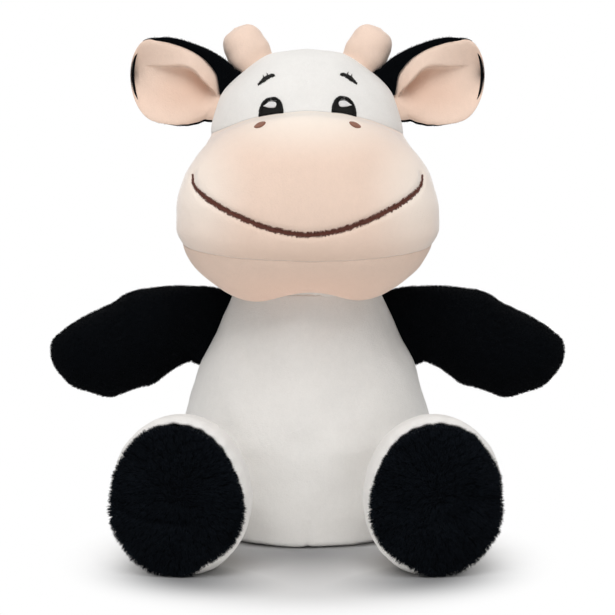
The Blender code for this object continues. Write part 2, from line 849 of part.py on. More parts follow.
def mirrored(grid, side):
    return [[Vector((side * p.x, p.y, p.z)) for p in row] for row in grid]


# Arms

def arm_grid(turns, inset):
    """Rings of the left arm, from its rounded root edge to its tip."""
    low, high, along, out = arm_seam()
    root = (low + high) / 2
    rings = []
    for bend in ROOT_BEND_SHARES:
        angle = math.pi / 2 * bend
        thick = (ARM_EDGE - inset) * math.cos(angle)
        centre = root - out * ((ARM_EDGE - inset) * math.sin(angle))
        tall = (ARM_ROOT_HALF - inset) * (1 - ROOT_CORNER_SHARE * math.sin(angle) ** 2)
        rings.append([centre + along * (tall * math.cos(t)) - Vector((0.0, thick * math.sin(t), 0.0))
                      for t in turns])
    upright = Vector((0.0, 0.0, 1.0))
    for share in spread(ARM_ROWS)[1:]:
        run = math.sin(math.pi / 2 * share)
        tall_share, deep_share, drop_share = read_shares(ARM_SHARES, share)
        tall = max(ARM_HALF_HEIGHT * tall_share - inset, 0.0) if share < 1 else 0.0
        deep = max(ARM_HALF_DEPTH * deep_share - inset, 0.0) if share < 1 else 0.0
        centre = root + Vector(((ARM_REACH - inset) * run, 0.0, -ARM_DROP * drop_share))
        lean = along.lerp(upright, min(share / ARM_UPRIGHT_SHARE, 1.0)).normalized()
        rings.append([centre + lean * (tall * math.cos(t)) - Vector((0.0, deep * math.sin(t), 0.0))
                      for t in turns])
    return rings


def build_arms():
    for side, word in ((1, "left"), (-1, "right")):
        for face, start in (("front", 0.0), ("back", math.pi)):
            turns = half_turn(ARM_STEPS, start)
            outer = trim(mirrored(arm_grid(turns, 0.0), side))
            inner = trim(mirrored(arm_grid(turns, CLOTH), side))
            panel("arm_" + face + "_panel_" + word, outer, inner, "black_minky")
        turns = [2 * math.pi * step / ARM_STEPS for step in range(ARM_STEPS)]
        core = mirrored(arm_grid(turns, CLOTH + GAP + FILL_SLACK), side)[2:]
        capped("arm_stuffing_" + word, core, "fibre_fill")


# Legs

def hip():
    """Centre of the left leg's root edge, with its directions along and out of the torso."""
    share = LEG_HEIGHT / TORSO_HEIGHT
    wide, front, _ = torso_outline(share)
    along = Vector((wide * math.sin(HIP_ANGLE), front * math.cos(HIP_ANGLE), 0.0)).normalized()
    out = Vector((along.y, -along.x, 0.0))
    return torso_point(share, HIP_ANGLE) + out * (LEG_EDGE + GAP), along, out


def leg_line():
    """Centre of the left leg's root, its directions ahead and across at the sole, and its rise."""
    root, _, _ = hip()
    ahead = Vector((math.sin(LEG_SPLAY), -math.cos(LEG_SPLAY), 0.0))
    across = Vector((math.cos(LEG_SPLAY), math.sin(LEG_SPLAY), 0.0))
    return root, ahead, across, LEG_HALF_HEIGHT - FLOOR_CUT - LEG_HEIGHT


def leg_grid(turns, inset):
    """Rings of the left leg, from its rounded root edge along the hip to the sole's seam."""
    root, along, out = hip()
    _, ahead, across, rise = leg_line()
    up = Vector((0.0, 0.0, 1.0))
    rings = []
    for bend in ROOT_BEND_SHARES:
        angle = math.pi / 2 * bend
        thick = (LEG_EDGE - inset) * math.cos(angle)
        centre = root - out * ((LEG_EDGE - inset) * math.sin(angle))
        wide = (LEG_ROOT_HALF - inset) * (1 - ROOT_CORNER_SHARE * math.sin(angle) ** 2)
        rings.append([centre + along * (wide * math.cos(t)) + up * (thick * math.sin(t)) for t in turns])
    for share in spread(LEG_ROWS)[1:]:
        wide_share, tall_share = read_shares(LEG_SHARES, share)
        wide = LEG_HALF_WIDTH * wide_share - inset
        tall = LEG_HALF_HEIGHT * tall_share - inset
        part = min(share / LEG_TURN_SHARE, 1.0)
        side = along.lerp(across, part * part * (3 - 2 * part)).normalized()
        centre = root + ahead * (LEG_LENGTH * share) + up * (rise * share)
        ring = [centre + side * (wide * math.cos(t)) + up * (tall * math.sin(t)) for t in turns]
        rings.append([Vector((p.x, p.y, max(p.z, inset))) for p in ring])
    return rings


def sole_grid(turns):
    """Rings of the sole, from its back round its edge to the crown of its front."""
    root, ahead, across, rise = leg_line()
    up = Vector((0.0, 0.0, 1.0))
    centre = root + ahead * (LEG_LENGTH + GAP) + up * rise
    rings = []
    for reach, step in SOLE_SHARES:
        depth = SOLE_THICKNESS * min(step, 1.0) + SOLE_CROWN * max(step - 1.0, 0.0)
        middle = centre + ahead * depth
        wide = LEG_HALF_WIDTH * reach
        tall = LEG_HALF_HEIGHT * reach
        ring = [middle + across * (wide * math.cos(t)) + up * (tall * math.sin(t)) for t in turns]
        rings.append([Vector((p.x, p.y, max(p.z, 0.0))) for p in ring])
    return rings


def build_legs():
    turns = [2 * math.pi * step / LEG_STEPS for step in range(LEG_STEPS)]
    for side, word in ((1, "left"), (-1, "right")):
        outer = mirrored(leg_grid(turns, 0.0), side)
        inner = mirrored(leg_grid(turns, CLOTH), side)
        cells = quads(outer, True) + quads(inner, True) + edge_strip(outer[-1], inner[-1], True)
        solid("leg_cover_" + word, cells, "white_minky")
        core = mirrored(leg_grid(turns[::2], CLOTH + GAP + FILL_SLACK), side)[2:]
        capped("leg_stuffing_" + word, core, "fibre_fill")
        capped("sole_" + word, mirrored(sole_grid(turns), side), "black_fur")


# Ears

def ear_grid(border, lift):
    """Grid of the left ear's cupped surface, drawn in by a border and lifted along -Y."""
    low, high, along, out = ear_seam()
    root = (low + high) / 2 - out * EAR_EDGE
    rows = []
    for share in spread(EAR_ROWS):
        run = math.sin(math.pi / 2 * share)
        tall = EAR_HALF_HEIGHT * read_shares(EAR_SHARES, run)[0]
        tall = max(tall - border, GAP)
        lean = along.lerp(Vector((0.0, 0.0, 1.0)), min(run / EAR_UPRIGHT_SHARE, 1.0)).normalized()
        centre = root + Vector(((EAR_REACH - border) * run, 0.0, EAR_RISE * run ** EAR_RISE_POWER))
        row = []
        for place in [2 * s - 1 for s in spread(EAR_STEPS)]:
            curl = EAR_CUP * place * place * math.sin(math.pi / 2 * min(run / EAR_CUP_SHARE, 1.0))
            sag = EAR_CUP * EAR_TIP_SHARE * run * run
            row.append(centre + lean * (tall * place) - Vector((0.0, curl - sag + lift, 0.0)))
        rows.append(row)
    return rows


def build_ears():
    for side, word in ((1, "left"), (-1, "right")):
        half = (EAR_BACK_CLOTH + GAP + CLOTH) / 2
        back = [ear_grid(0.0, lift) for lift in (-half, EAR_BACK_CLOTH - half)]
        front = [ear_grid(EAR_BORDER, lift) for lift in (half - CLOTH, half)]
        panel("ear_back_" + word, mirrored(back[0], side), mirrored(back[1], side), "black_minky")
        panel("ear_lining_" + word, mirrored(front[1], side), mirrored(front[0], side), "cream_minky")


# Tail

def tail_root():
    share = TAIL_HEIGHT / TORSO_HEIGHT
    place = torso_point(share, math.pi * 1.5)
    return place + Vector((0.0, TAIL_RADIUS + GAP, 0.0))


def tail_route():
    """Centres of the tail's rings: out of the seam, then down."""
    root = tail_root()
    route = []
    for share in spread(TAIL_ROWS):
        angle = math.pi / 2 * share
        route.append(root + Vector((0.0, TAIL_REACH * math.sin(angle), -TAIL_DROP * (1 - math.cos(angle)))))
    return route


def ring_across(centre, along, radius, steps):
    side = Vector((1.0, 0.0, 0.0))
    other = along.cross(side).normalized()
    return [centre + side * (radius * math.cos(a)) + other * (radius * math.sin(a))
            for a in [2 * math.pi * step / steps for step in range(steps)]]


def build_tail():
    route = tail_route()
    first = (route[1] - route[0]).normalized()
    rings = []
    for bend in TAIL_BEND_SHARES:
        angle = math.pi / 2 * bend
        rings.append(ring_across(route[0] - first * (TAIL_RADIUS * math.sin(angle)),
                                 first, TAIL_RADIUS * math.cos(angle), TAIL_STEPS))
    for index, point in enumerate(route):
        before = route[max(index - 1, 0)]
        after = route[min(index + 1, len(route) - 1)]
        rings.append(ring_across(point, (after - before).normalized(), TAIL_RADIUS, TAIL_STEPS))
    capped("tail_tube", rings, "white_minky")
    down = Vector((0.0, 0.0, -1.0))
    rings = []
    for share in spread(TUFT_ROWS):
        radius = TUFT_RADIUS * read_shares(TUFT_SHARES, share)[0]
        rings.append(ring_across(route[-1] + down * (GAP + TUFT_LENGTH * share), down, radius, TUFT_STEPS))
    capped("tail_tuft", rings, "black_fur")


# Joints

def hang(name, spot, stems, carrier=None):
    """Hang the pieces whose names start with a stem on an empty at their joint, where they are."""
    pivot = bpy.data.objects.new(name, None)
    bpy.context.scene.collection.objects.link(pivot)
    pivot.location = spot
    if carrier:
        pivot.parent = carrier
        pivot.location = spot - neck_centre()
    for piece in list(bpy.data.objects):
        if piece.type == "MESH" and piece.name.startswith(stems):
            piece.data.transform(Matrix.Translation(-spot))
            piece.parent = pivot
    return pivot


def hang_pieces():
    """Set the origin of every moving piece on its joint's axis."""
    neck = hang("neck_pivot", neck_centre(), ("neck_",))
    stems = ("head_", "muzzle_", "chin_", "smile_", "eye_", "brow_", "nostril_", "horn_")
    head = hang("head_pivot", neck_centre(), stems, neck)
    for side, word in ((1, "left"), (-1, "right")):
        low, high, _, _ = ear_seam()
        spot = mirrored([[(low + high) / 2]], side)[0][0]
        hang("ear_pivot_" + word, spot, ("ear_back_" + word, "ear_lining_" + word), head)
        low, high, _, _ = arm_seam()
        spot = mirrored([[(low + high) / 2]], side)[0][0]
        stems = ("arm_front_panel_" + word, "arm_back_panel_" + word, "arm_stuffing_" + word)
        hang("arm_pivot_" + word, spot, stems)
        spot = mirrored([[hip()[0]]], side)[0][0]
        hang("leg_pivot_" + word, spot, ("leg_cover_" + word, "leg_stuffing_" + word, "sole_" + word))
    hang("tail_pivot", tail_root(), ("tail_",))


def main():
    clear_scene()
    build_torso()
    build_neck()
    whole, guide = build_head()
    build_face(whole, guide)
    build_horns(guide)
    build_ears()
    build_arms()
    build_legs()
    build_tail()
    hang_pieces()


main()
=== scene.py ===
"""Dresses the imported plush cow: cloth covers with seams, pile and fur, stitched
face, fill, and a plain studio. Metres, +Z up; the cow faces -Y and its left side
is +X. The forms repeat the solids' own tables at a finer grain.
"""

import json
import math

import bmesh
import bpy
import numpy as np
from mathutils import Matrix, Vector
from mathutils.bvhtree import BVHTree
from mathutils.kdtree import KDTree


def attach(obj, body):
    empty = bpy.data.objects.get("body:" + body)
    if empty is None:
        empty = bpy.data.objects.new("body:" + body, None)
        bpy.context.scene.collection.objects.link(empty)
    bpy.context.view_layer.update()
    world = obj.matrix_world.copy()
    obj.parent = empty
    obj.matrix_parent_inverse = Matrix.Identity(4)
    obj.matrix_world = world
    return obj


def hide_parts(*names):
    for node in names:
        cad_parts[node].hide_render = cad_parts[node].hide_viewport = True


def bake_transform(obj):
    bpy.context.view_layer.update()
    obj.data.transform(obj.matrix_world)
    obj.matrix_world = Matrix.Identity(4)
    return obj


bl_info = {
    "name": "Plush Cow Dresser",
    "version": (1, 0, 0),
    "blender": (4, 5, 0),
    "location": "3D View > Sidebar > Plush Cow",
    "description": "Sews cloth, pile and stitches over the solids of a seated plush cow",
    "category": "Object",
}

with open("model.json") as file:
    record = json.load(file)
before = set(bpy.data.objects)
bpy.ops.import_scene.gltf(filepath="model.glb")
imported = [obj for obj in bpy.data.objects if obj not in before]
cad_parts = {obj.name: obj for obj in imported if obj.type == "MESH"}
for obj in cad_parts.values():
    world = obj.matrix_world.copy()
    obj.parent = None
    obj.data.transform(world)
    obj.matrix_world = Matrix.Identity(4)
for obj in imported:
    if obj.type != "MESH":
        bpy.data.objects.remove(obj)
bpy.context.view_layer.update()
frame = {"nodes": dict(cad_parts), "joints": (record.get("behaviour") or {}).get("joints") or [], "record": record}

MM = 0.001
SIDES = ((1, "left"), (-1, "right"))

# Sizes of the solids
CLOTH = 1.2 * MM
GAP = 0.3 * MM
FLOOR_CUT = 1.2 * MM
TORSO_HEIGHT = 116 * MM
TORSO_HALF_WIDTH = 60 * MM
TORSO_FRONT = 52 * MM
TORSO_BACK = 45 * MM
BASE_THICKNESS = 1.5 * MM
NECK_RADIUS = 30.5 * MM
NECK_LIP = 1.4 * MM
HEAD_RIM_RISE = 6.8 * MM
HEAD_LIP = 0.8 * MM
HEAD_HEIGHT = 112.3 * MM
HEAD_HALF_WIDTH = 46 * MM
HEAD_BACK = 46 * MM
MUZZLE_FRONT = 71.5 * MM
MUZZLE_BULGE = 23 * MM
JOWL_DROP = 7 * MM
EYE_SPREAD = 16.4 * MM
EYE_WIDTH = 11.2 * MM
EYE_HEIGHT = 8.1 * MM
EYE_RISE = 0.6 * MM
BROW_RISE = 13.2 * MM
BROW_LENGTH = 7.4 * MM
NOSTRIL_SPREAD = 21.2 * MM
NOSTRIL_LENGTH = 5.8 * MM
NOSTRIL_WIDTH = 2.3 * MM
NOSTRIL_SLANT = math.radians(23)
NOSTRIL_HEIGHT_SHARE = 0.691
SMILE_HALF_WIDTH = 50.8 * MM
SMILE_RISE_SHARE = 0.2253
SMILE_HEIGHT_SHARE = 0.2725
HORN_SPREAD = 24.7 * MM
HORN_SETBACK = 6 * MM
HORN_LENGTH = 19 * MM
HORN_RADIUS = 10.3 * MM
HORN_LEAN = math.radians(30)
EAR_REACH = 41.3 * MM
EAR_HALF_HEIGHT = 20.6 * MM
EAR_RISE = 8.8 * MM
EAR_CUP = 7 * MM
EAR_EDGE = 1.5 * MM
EAR_TIP_SHARE = 0.35
EAR_RISE_POWER = 0.75
EAR_UPRIGHT_SHARE = 0.5
EAR_CUP_SHARE = 0.625
ARM_ROOT_HALF = 20.3 * MM
ARM_REACH = 74.5 * MM
ARM_DROP = 14 * MM
ARM_HALF_HEIGHT = 23.4 * MM
ARM_HALF_DEPTH = 19.5 * MM
ARM_EDGE = 3 * MM
ARM_UPRIGHT_SHARE = 0.3
ROOT_CORNER_SHARE = 0.06
LEG_HEIGHT = 29 * MM
LEG_SPLAY = math.radians(6.5)
LEG_ROOT_HALF = 17 * MM
LEG_LENGTH = 66 * MM
LEG_HALF_WIDTH = 31.1 * MM
LEG_HALF_HEIGHT = 34.8 * MM
LEG_TURN_SHARE = 0.8
LEG_EDGE = 3 * MM
SOLE_THICKNESS = 2.2 * MM
SOLE_CROWN = 3.5 * MM
TAIL_RADIUS = 3.6 * MM
TAIL_REACH = 11.5 * MM
TAIL_DROP = 22.5 * MM
TUFT_LENGTH = 16.5 * MM
TUFT_RADIUS = 6.8 * MM

# Share tables of the solids
TORSO_SHARES = (
    (0.000, 0.70, 0.76, 0.66),
    (0.033, 0.79, 0.86, 0.79),
    (0.128, 0.915, 0.95, 0.91),
    (0.256, 0.99, 0.99, 0.98),
    (0.379, 1.00, 1.00, 1.00),
    (0.493, 0.96, 0.94, 0.97),
    (0.597, 0.905, 0.865, 0.93),
    (0.702, 0.842, 0.78, 0.87),
    (0.797, 0.745, 0.72, 0.82),
    (0.882, 0.668, 0.675, 0.775),
    (0.948, 0.605, 0.66, 0.75),
)
HEAD_SHARES = (
    (1.000, 0.00, 0.00, 0.000, 0.000, 0.00, 0.0),
    (0.973, 0.37, 0.00, 0.210, -0.004, 0.35, 0.0),
    (0.899, 0.66, 0.00, 0.375, 0.000, 0.62, 0.0),
    (0.801, 0.875, 0.02, 0.490, 0.014, 0.82, 0.0),
    (0.641, 0.985, 0.04, 0.585, 0.115, 0.95, 0.0),
    (0.606, 0.985, 0.20, 0.740, 0.118, 0.97, 0.0),
    (0.534, 0.975, 0.575, 0.867, 0.120, 0.99, 0.0),
    (0.445, 0.985, 0.88, 0.965, 0.090, 1.00, 0.0),
    (0.347, 1.00, 1.00, 1.000, 0.026, 0.99, 0.0),
    (0.285, 1.00, 1.00, 0.980, -0.026, 0.97, 0.0),
    (0.231, 0.985, 0.90, 0.923, -0.072, 0.94, 0.0),
    (0.151, 0.92, 0.79, 0.800, -0.080, 0.88, 0.3),
    (0.040, 0.80, 0.30, 0.620, -0.016, 0.80, 1.0),
)
MUZZLE_SEAM_ROW = 4
CHIN_SEAM_ROW = 10
ARM_SHARES = (
    (0.00, 0.842, 0.154, 0.00),
    (0.06, 0.90, 0.45, 0.04),
    (0.12, 0.955, 0.66, 0.16),
    (0.20, 1.02, 0.88, 0.32),
    (0.29, 1.00, 1.00, 0.43),
    (0.36, 1.00, 1.00, 0.61),
    (0.43, 0.955, 0.97, 0.85),
    (0.575, 0.77, 0.86, 0.94),
    (0.67, 0.65, 0.76, 0.98),
    (0.78, 0.44, 0.57, 0.94),
    (0.90, 0.24, 0.32, 0.86),
    (1.00, 0.00, 0.00, 0.85),
)
LEG_SHARES = (
    (0.00, 0.547, 0.085),
    (0.10, 0.60, 0.19),
    (0.25, 0.71, 0.45),
    (0.45, 0.87, 0.79),
    (0.62, 0.955, 0.98),
    (0.78, 0.99, 1.045),
    (0.92, 1.00, 1.03),
    (1.00, 0.97, 0.97),
)
SOLE_SHARES = ((0.0, 0.0), (0.955, 0.0), (0.965, 0.4), (0.94, 1.0), (0.81, 1.5), (0.48, 1.87), (0.0, 2.0))
HORN_SHARES = (
    (0.00, 0.90),
    (0.30, 1.00),
    (0.55, 0.98),
    (0.75, 0.86),
    (0.90, 0.61),
    (1.00, 0.00),
)
EAR_SHARES = (
    (0.00, 0.65),
    (0.12, 0.78),
    (0.30, 0.91),
    (0.52, 1.00),
    (0.72, 0.93),
    (0.86, 0.72),
    (0.95, 0.45),
    (1.00, 0.00),
)
TUFT_SHARES = (
    (0.00, 0.50),
    (0.30, 0.90),
    (0.55, 1.00),
    (0.80, 0.68),
    (1.00, 0.00),
)
SMILE_SHARES = (
    (0.00, 0.00),
    (0.28, 0.08),
    (0.56, 0.28),
    (0.84, 0.57),
    (0.98, 0.80),
    (1.00, 1.00),
)

# Sizes of the cloth alone
JOWL_PAD_SHARE = 0.72
DART_DEPTH = 0.7 * MM
DART_WIDTH = 1.1 * MM
CLOSING_DEPTH = 0.8 * MM
CLOSING_WIDTH = 1.3 * MM
CROWN_SEAM_DEPTH = 0.5 * MM
CROWN_SEAM_WIDTH = 0.9 * MM
COLLAR_SEAT = 0.6 * MM
COLLAR_PUFF = 1.5 * MM
COLLAR_GATHER = 0.3 * MM
COLLAR_TUCK = 1.5 * MM
ARM_ROOT_SWELL = 7.0 * MM
ARM_SWELL_END = 0.10
ARM_SINK = 4.0 * MM
ARM_INSET = 0.4 * MM
LEG_SINK = 1.5 * MM
LEG_RIM = 0.045
LEG_RIM_TURN = 1.9
LEG_END_START = 0.72
SOLE_FUR_ROOM = 0.03
SOLE_FUR_FLOOR = 0.05 * MM
FIBRE_INSET = 1.9 * MM
FIBRE_FLOOR = 1.8 * MM

# Sizes of the ears' cloth
EAR_SINK_SHARE = 0.11
EAR_TIP_START = 0.72
EAR_FOLD_START = 0.35
EAR_FOLD_FADE = 0.5
EAR_VALLEY = 7.0 * MM
EAR_FLAP = 4.5 * MM
EAR_PUFF = 1.8 * MM
EAR_PUFF_RUN = 2.2 * MM
EAR_ROLL = 3.0 * MM
EAR_ROLL_SEAT = 0.3 * MM
EAR_BACK_PUFF = 1.5 * MM
EAR_BACK_SWELL = 2.2 * MM
EAR_BACK_SPREAD = 0.5 * MM
EAR_BACK_CLOTH = 0.8 * MM
EAR_BACK_DRAW = 0.8 * MM
EAR_BARE_TIP = 0.93

# Sizes of the stitches
THREAD = 0.2 * MM
FINE_THREAD = 0.16 * MM
EYE_DROP = 1.3 * MM
EYE_SQUARE = 2.6
EYE_ROUND = 2.2
EYE_BORDER = 0.85 * MM
EYE_SEAT = 0.9 * MM
BROW_DROP = 0.8 * MM
BROW_INSET = 0.19
BROW_SLOPE = 0.58
BROW_STITCH = 1.1 * MM
SMILE_STRETCH = 1.012
SMILE_PITCH = 0.27 * MM
SMILE_STITCH = 1.38 * MM
SMILE_TAPER = 16 * MM
NOSTRIL_LIFT = 0.6 * MM
NOSTRIL_FILL_SHARE = 0.93
CLOSING_PITCH = 3.1 * MM

# Body that a limb or an ear is sewn to, its left joint, and a reach out from the seam that is passed on as the far
# end of its bend; nothing here bends the cloth
SEAM_BENDS = {
    "arm": ("torso", "arm_left_swing", 16 * MM),
    "leg": ("torso", "leg_left_lift", 22 * MM),
    "ear": ("head", "ear_left_flap", 9 * MM),
}
TAIL_BEND = 6 * MM
# Middle, depth and width in millimetres of each dent that handling has left in the torso's front
TORSO_DENTS = (
    ((-13.8, -46.0, 83.1), 0.9, 7.0),
    ((-5.7, -51.0, 48.2), 0.8, 8.0),
    ((17.0, -44.0, 89.4), 0.7, 6.5),
    ((22.0, -46.0, 30.0), 0.5, 9.0),
)
# Reach of each ring of the seat panel and its level in the panel's thickness
SEAT_RINGS = ((0.0, 0.0), (0.5, 0.0), (0.94, 0.0), (0.955, 0.3),
              (0.955, 0.8), (0.94, 1.0), (0.5, 1.0), (0.0, 1.0))
# Stitches of the brow that are lashes, and how much longer each is
LASHES = ((13, 0.5 * MM), (14, 0.9 * MM), (22, 1.1 * MM), (23, 0.5 * MM))
# Across, lower and upper edge of the glint in millimetres, from the eye's middle outwards and its foot up
GLINT_SHAPE = (
    (-2.4, 3.1, 4.0),
    (-2.1, 2.2, 4.8),
    (-1.2, 1.75, 5.2),
    (-0.2, 1.7, 5.3),
    (0.8, 1.8, 5.0),
    (1.8, 2.1, 4.1),
    (2.6, 2.5, 3.3),
    (3.2, 2.65, 2.85),
)
# Place of the lining's upper edge and of its crease, from -1 below to 1 above, against the ear's run,
# which is 0 at the seam and 1 at the tip
LINING_EDGE = ((0.0, 0.0), (0.05, 0.24), (0.12, 0.53), (0.28, 0.77), (0.40, 0.84), (0.55, 0.88),
               (0.67, 0.92), (0.78, 0.97), (0.88, 1.0), (1.0, 1.0))
EAR_CREASE = ((0.0, -0.10), (0.20, 0.20), (0.38, 0.42), (0.60, 0.34), (1.0, 0.30))
# How far the ear's lower half reaches down, against the upper half
EAR_LOW = ((-0.11, 0.89), (0.0, 1.05), (0.06, 1.08), (0.10, 1.06), (0.15, 1.03), (0.24, 1.0), (0.32, 0.965),
           (0.40, 0.945), (0.51, 0.945), (0.62, 0.97), (0.71, 1.01), (0.85, 1.01), (1.0, 1.0))
# Share of the sole's ellipse that each foot fills, at twelve places from its outer side over its top
SOLE_OUTLINES = {
    "right": (0.970, 0.962, 0.985, 0.975, 0.955, 0.915, 0.985, 0.998, 0.935, 1.015, 1.025, 1.010),
    "left": (0.930, 0.945, 0.975, 0.975, 0.978, 0.950, 1.000, 1.010, 0.965, 1.000, 0.985, 0.975),
}
# Route of each crease of a sole, in shares of its half width outwards and of its half height up,
# and the crease's depth and width in millimetres
SOLE_LINES = {
    "right": ((((1.0, -0.02), (0.8, -0.06), (0.55, -0.16), (0.2, -0.22), (-0.15, -0.24)), 2.4, 2.0),),
    "left": ((((1.0, -0.01), (0.85, 0.02), (0.7, 0.02)), 2.2, 2.4),
             (((0.52, 0.10), (0.42, -0.08), (0.12, -0.2)), 2.0, 4.5)),
}

# Spot, reach and colour of painted light and painted shade on the cloth, on both sides of the middle
# Painted shade in the deep of each ear's cup, under its fold
EAR_PAINTED_SHADE = (((56 * MM, 8 * MM, 207 * MM), (26 * MM, 60 * MM, 15 * MM), (0.80, 0.57, 0.45, 1.0)),)
# Painted light under the chin, paler than the cream around it
CHIN_PAINTED_LIGHT = (((0.0, 40 * MM, 117 * MM), (60 * MM, 60 * MM, 24 * MM), (0.97, 0.69, 0.55, 1.0)),)
# Painted light on the muzzle's top and on its sides, and painted shade low on its front under the smile
MUZZLE_PAINTED_LIGHT_AND_SHADE = (((0.0, 42 * MM, 199 * MM), (62 * MM, 60 * MM, 26 * MM), (0.96, 0.86, 0.76, 1.0)),
                 ((50 * MM, 45 * MM, 165 * MM), (30 * MM, 90 * MM, 45 * MM), (0.97, 0.85, 0.75, 1.0)),
                 ((0.0, 66 * MM, 132 * MM), (58 * MM, 60 * MM, 16 * MM), (0.80, 0.60, 0.48, 1.0)))
FIBRE_WHITE = (0.86, 0.86, 0.85)
POUCH_WHITE = (0.72, 0.72, 0.70)

# The floor: its tones, and the spot and reach of the shadow painted on it near the cow, by its feet and by its
# seat
FLOOR_RADIUS = 3.0
FLOOR_TONES = ((0.91, 0.91, 0.91, 1), (0.93, 0.93, 0.93, 1))
PAINTED_SHADOW_TONE = (0.71, 0.71, 0.71, 1)
PAINTED_CONTACT_SHADOW = (0.30, 0.30, 0.305, 1)
NEAR_SHADE = (0, 110 * MM, 0), (100 * MM, 75 * MM, 1)
FEET_SHADE = (58 * MM, 104 * MM, 0), (60 * MM, 56 * MM, 1)
SEAT_SHADE = (0, 50 * MM, 0), (91 * MM, 78 * MM, 1)
# Middle and half sizes of the oval past which the floor turns plain white, and where it starts and ends
WHITE_AHEAD = 62 * MM
WHITE_OVAL = (104 * MM, 115 * MM)
WHITE_START, WHITE_END = 0.62, 1.1


# Grids and meshes

def follow(table, place):
    """Columns of a table at places, by a cubic that never overshoots its rows."""
    rows = np.array(table, float)
    if rows[0, 0] > rows[-1, 0]:
        rows = rows[::-1]
    at, values = rows[:, 0], rows[:, 1:]
    rise = np.diff(values, axis=0) / np.diff(at)[:, None]
    slope = np.zeros_like(values)
    slope[0], slope[-1] = rise[0], rise[-1]
    same = rise[:-1] * rise[1:] > 0
    total = np.where(same, rise[:-1] + rise[1:], 1.0)
    slope[1:-1] = np.where(same, 2 * rise[:-1] * rise[1:] / total, 0.0)
    place = np.clip(np.asarray(place, float), at[0], at[-1])
    low = np.clip(np.searchsorted(at, place, side="right") - 1, 0, len(at) - 2)
    width = (at[low + 1] - at[low])[..., None]
    part = (place - at[low])[..., None] / width
    square, cube = part ** 2, part ** 3
    found = (2 * cube - 3 * square + 1) * values[low] + (3 * square - 2 * cube) * values[low + 1]
    found += (cube - 2 * square + part) * width * slope[low] + (cube - square) * width * slope[low + 1]
    return np.moveaxis(found, -1, 0)


def place_at(x, y, z):
    return np.stack(np.broadcast_arrays(x, y, z), -1).astype(float)


def unit(vectors):
    return vectors / np.maximum(np.linalg.norm(vectors, axis=-1, keepdims=True), 1e-12)


def full_turn(count):
    """Angles once round a form, in one row."""
    return np.linspace(0, 2 * math.pi, count + 1)[None, :-1]


def closed(grid):
    """A grid with its first column once more at its end."""
    return np.concatenate([grid, grid[:, :1]], 1)


def facing(grid, wrap=False):
    """Unit normals of a grid of points, pointing away from its middle."""
    wide = np.concatenate([grid[:, -1:], grid, grid[:, :1]], 1) if wrap else grid
    across = np.gradient(wide, axis=1)
    along = np.gradient(wide, axis=0)
    normals = np.cross(along, across)
    if wrap:
        normals = normals[:, 1:-1]
    for row, near in ((0, 1), (-1, -2)):
        if np.ptp(grid[row], axis=0).max() < 1e-7:
            normals[row] = normals[near].sum(0)
    normals = unit(normals)
    middle = grid.reshape(-1, 3).mean(0)
    if ((grid - middle) * normals).sum() < 0:
        normals = -normals
    return normals


def runs(grid):
    """Distance of every point of a grid to its first and last row and column, along the grid."""
    down = np.linalg.norm(np.diff(grid, axis=0), axis=-1).cumsum(0)
    down = np.vstack([np.zeros((1, grid.shape[1])), down])
    over = np.linalg.norm(np.diff(grid, axis=1), axis=-1).cumsum(1)
    over = np.hstack([np.zeros((grid.shape[0], 1)), over])
    return {"first_row": down, "last_row": down[-1] - down,
            "first_side": over, "last_side": over[:, -1:] - over}


def waves(points, length, seed, count=16):
    """Smooth bumps between about -1 and 1, made of plane waves of about one length."""
    draw = np.random.default_rng(seed)
    ways = unit(draw.normal(size=(count, 3)))
    ways *= (2 * math.pi / (length * draw.uniform(0.75, 1.4, count)))[:, None]
    phase = draw.uniform(0, 2 * math.pi, count)
    return np.cos(points @ ways.T + phase).sum(-1) / math.sqrt(count)


def nearest(points, spots):
    """Which of some spots is nearest to every point, and how far away it is."""
    tree = KDTree(len(spots))
    for index, spot in enumerate(spots):
        tree.insert(spot, index)
    tree.balance()
    found = [tree.find(point) for point in points.reshape(-1, 3)]
    return (np.array([item[part] for item in found]).reshape(points.shape[:-1]) for part in (1, 2))


def smooth_route(points, steps):
    """A Catmull-Rom curve through points, with some steps between each two."""
    points = np.array(points, float)
    ends = np.vstack([points[:1], points, points[-1:]])
    t = (np.arange(steps) / steps)[:, None]
    made = [0.5 * (2 * b + (c - a) * t + (2 * a - 5 * b + 4 * c - d) * t ** 2
                   + (3 * b - a - 3 * c + d) * t ** 3)
            for a, b, c, d in zip(ends, ends[1:], ends[2:], ends[3:])]
    return np.vstack(made + [points[-1:]])


def quads(rows, columns, wrap=False, start=0):
    index = np.arange(rows * columns).reshape(rows, columns) + start
    after = np.roll(index, -1, 1) if wrap else index[:, 1:]
    first = index if wrap else index[:, :-1]
    return np.stack([first[:-1], after[:-1], after[1:], first[1:]], -1).reshape(-1, 4)


def strip(first, second, wrap=False):
    if wrap:
        first, second = np.append(first, first[0]), np.append(second, second[0])
    return np.stack([first[:-1], first[1:], second[1:], second[:-1]], -1)


def shell(outer, inner, wrap=False):
    """Points and faces of the closed body between two grids."""
    rows, columns = outer.shape[:2]
    points = np.concatenate([outer.reshape(-1, 3), inner.reshape(-1, 3)])
    front = np.arange(rows * columns).reshape(rows, columns)
    back = front + rows * columns
    faces = [quads(rows, columns, wrap), quads(rows, columns, wrap, rows * columns)[:, ::-1],
             strip(front[0], back[0], wrap), strip(back[-1], front[-1], wrap)]
    if not wrap:
        faces += [strip(back[:, 0], front[:, 0]), strip(front[:, -1], back[:, -1])]
    return points, np.concatenate(faces)


def cover(name, outer, inner, finish, side=1, wrap=False):
    """Cloth between two grids, or its mirror image."""
    return welded(name, *shell(mirror(outer, side), mirror(inner, side), wrap), finish)


def lathed(name, grid, finish):
    """A closed body of rings that begin and end in one point."""
    return welded(name, grid.reshape(-1, 3), quads(*grid.shape[:2], True), finish)


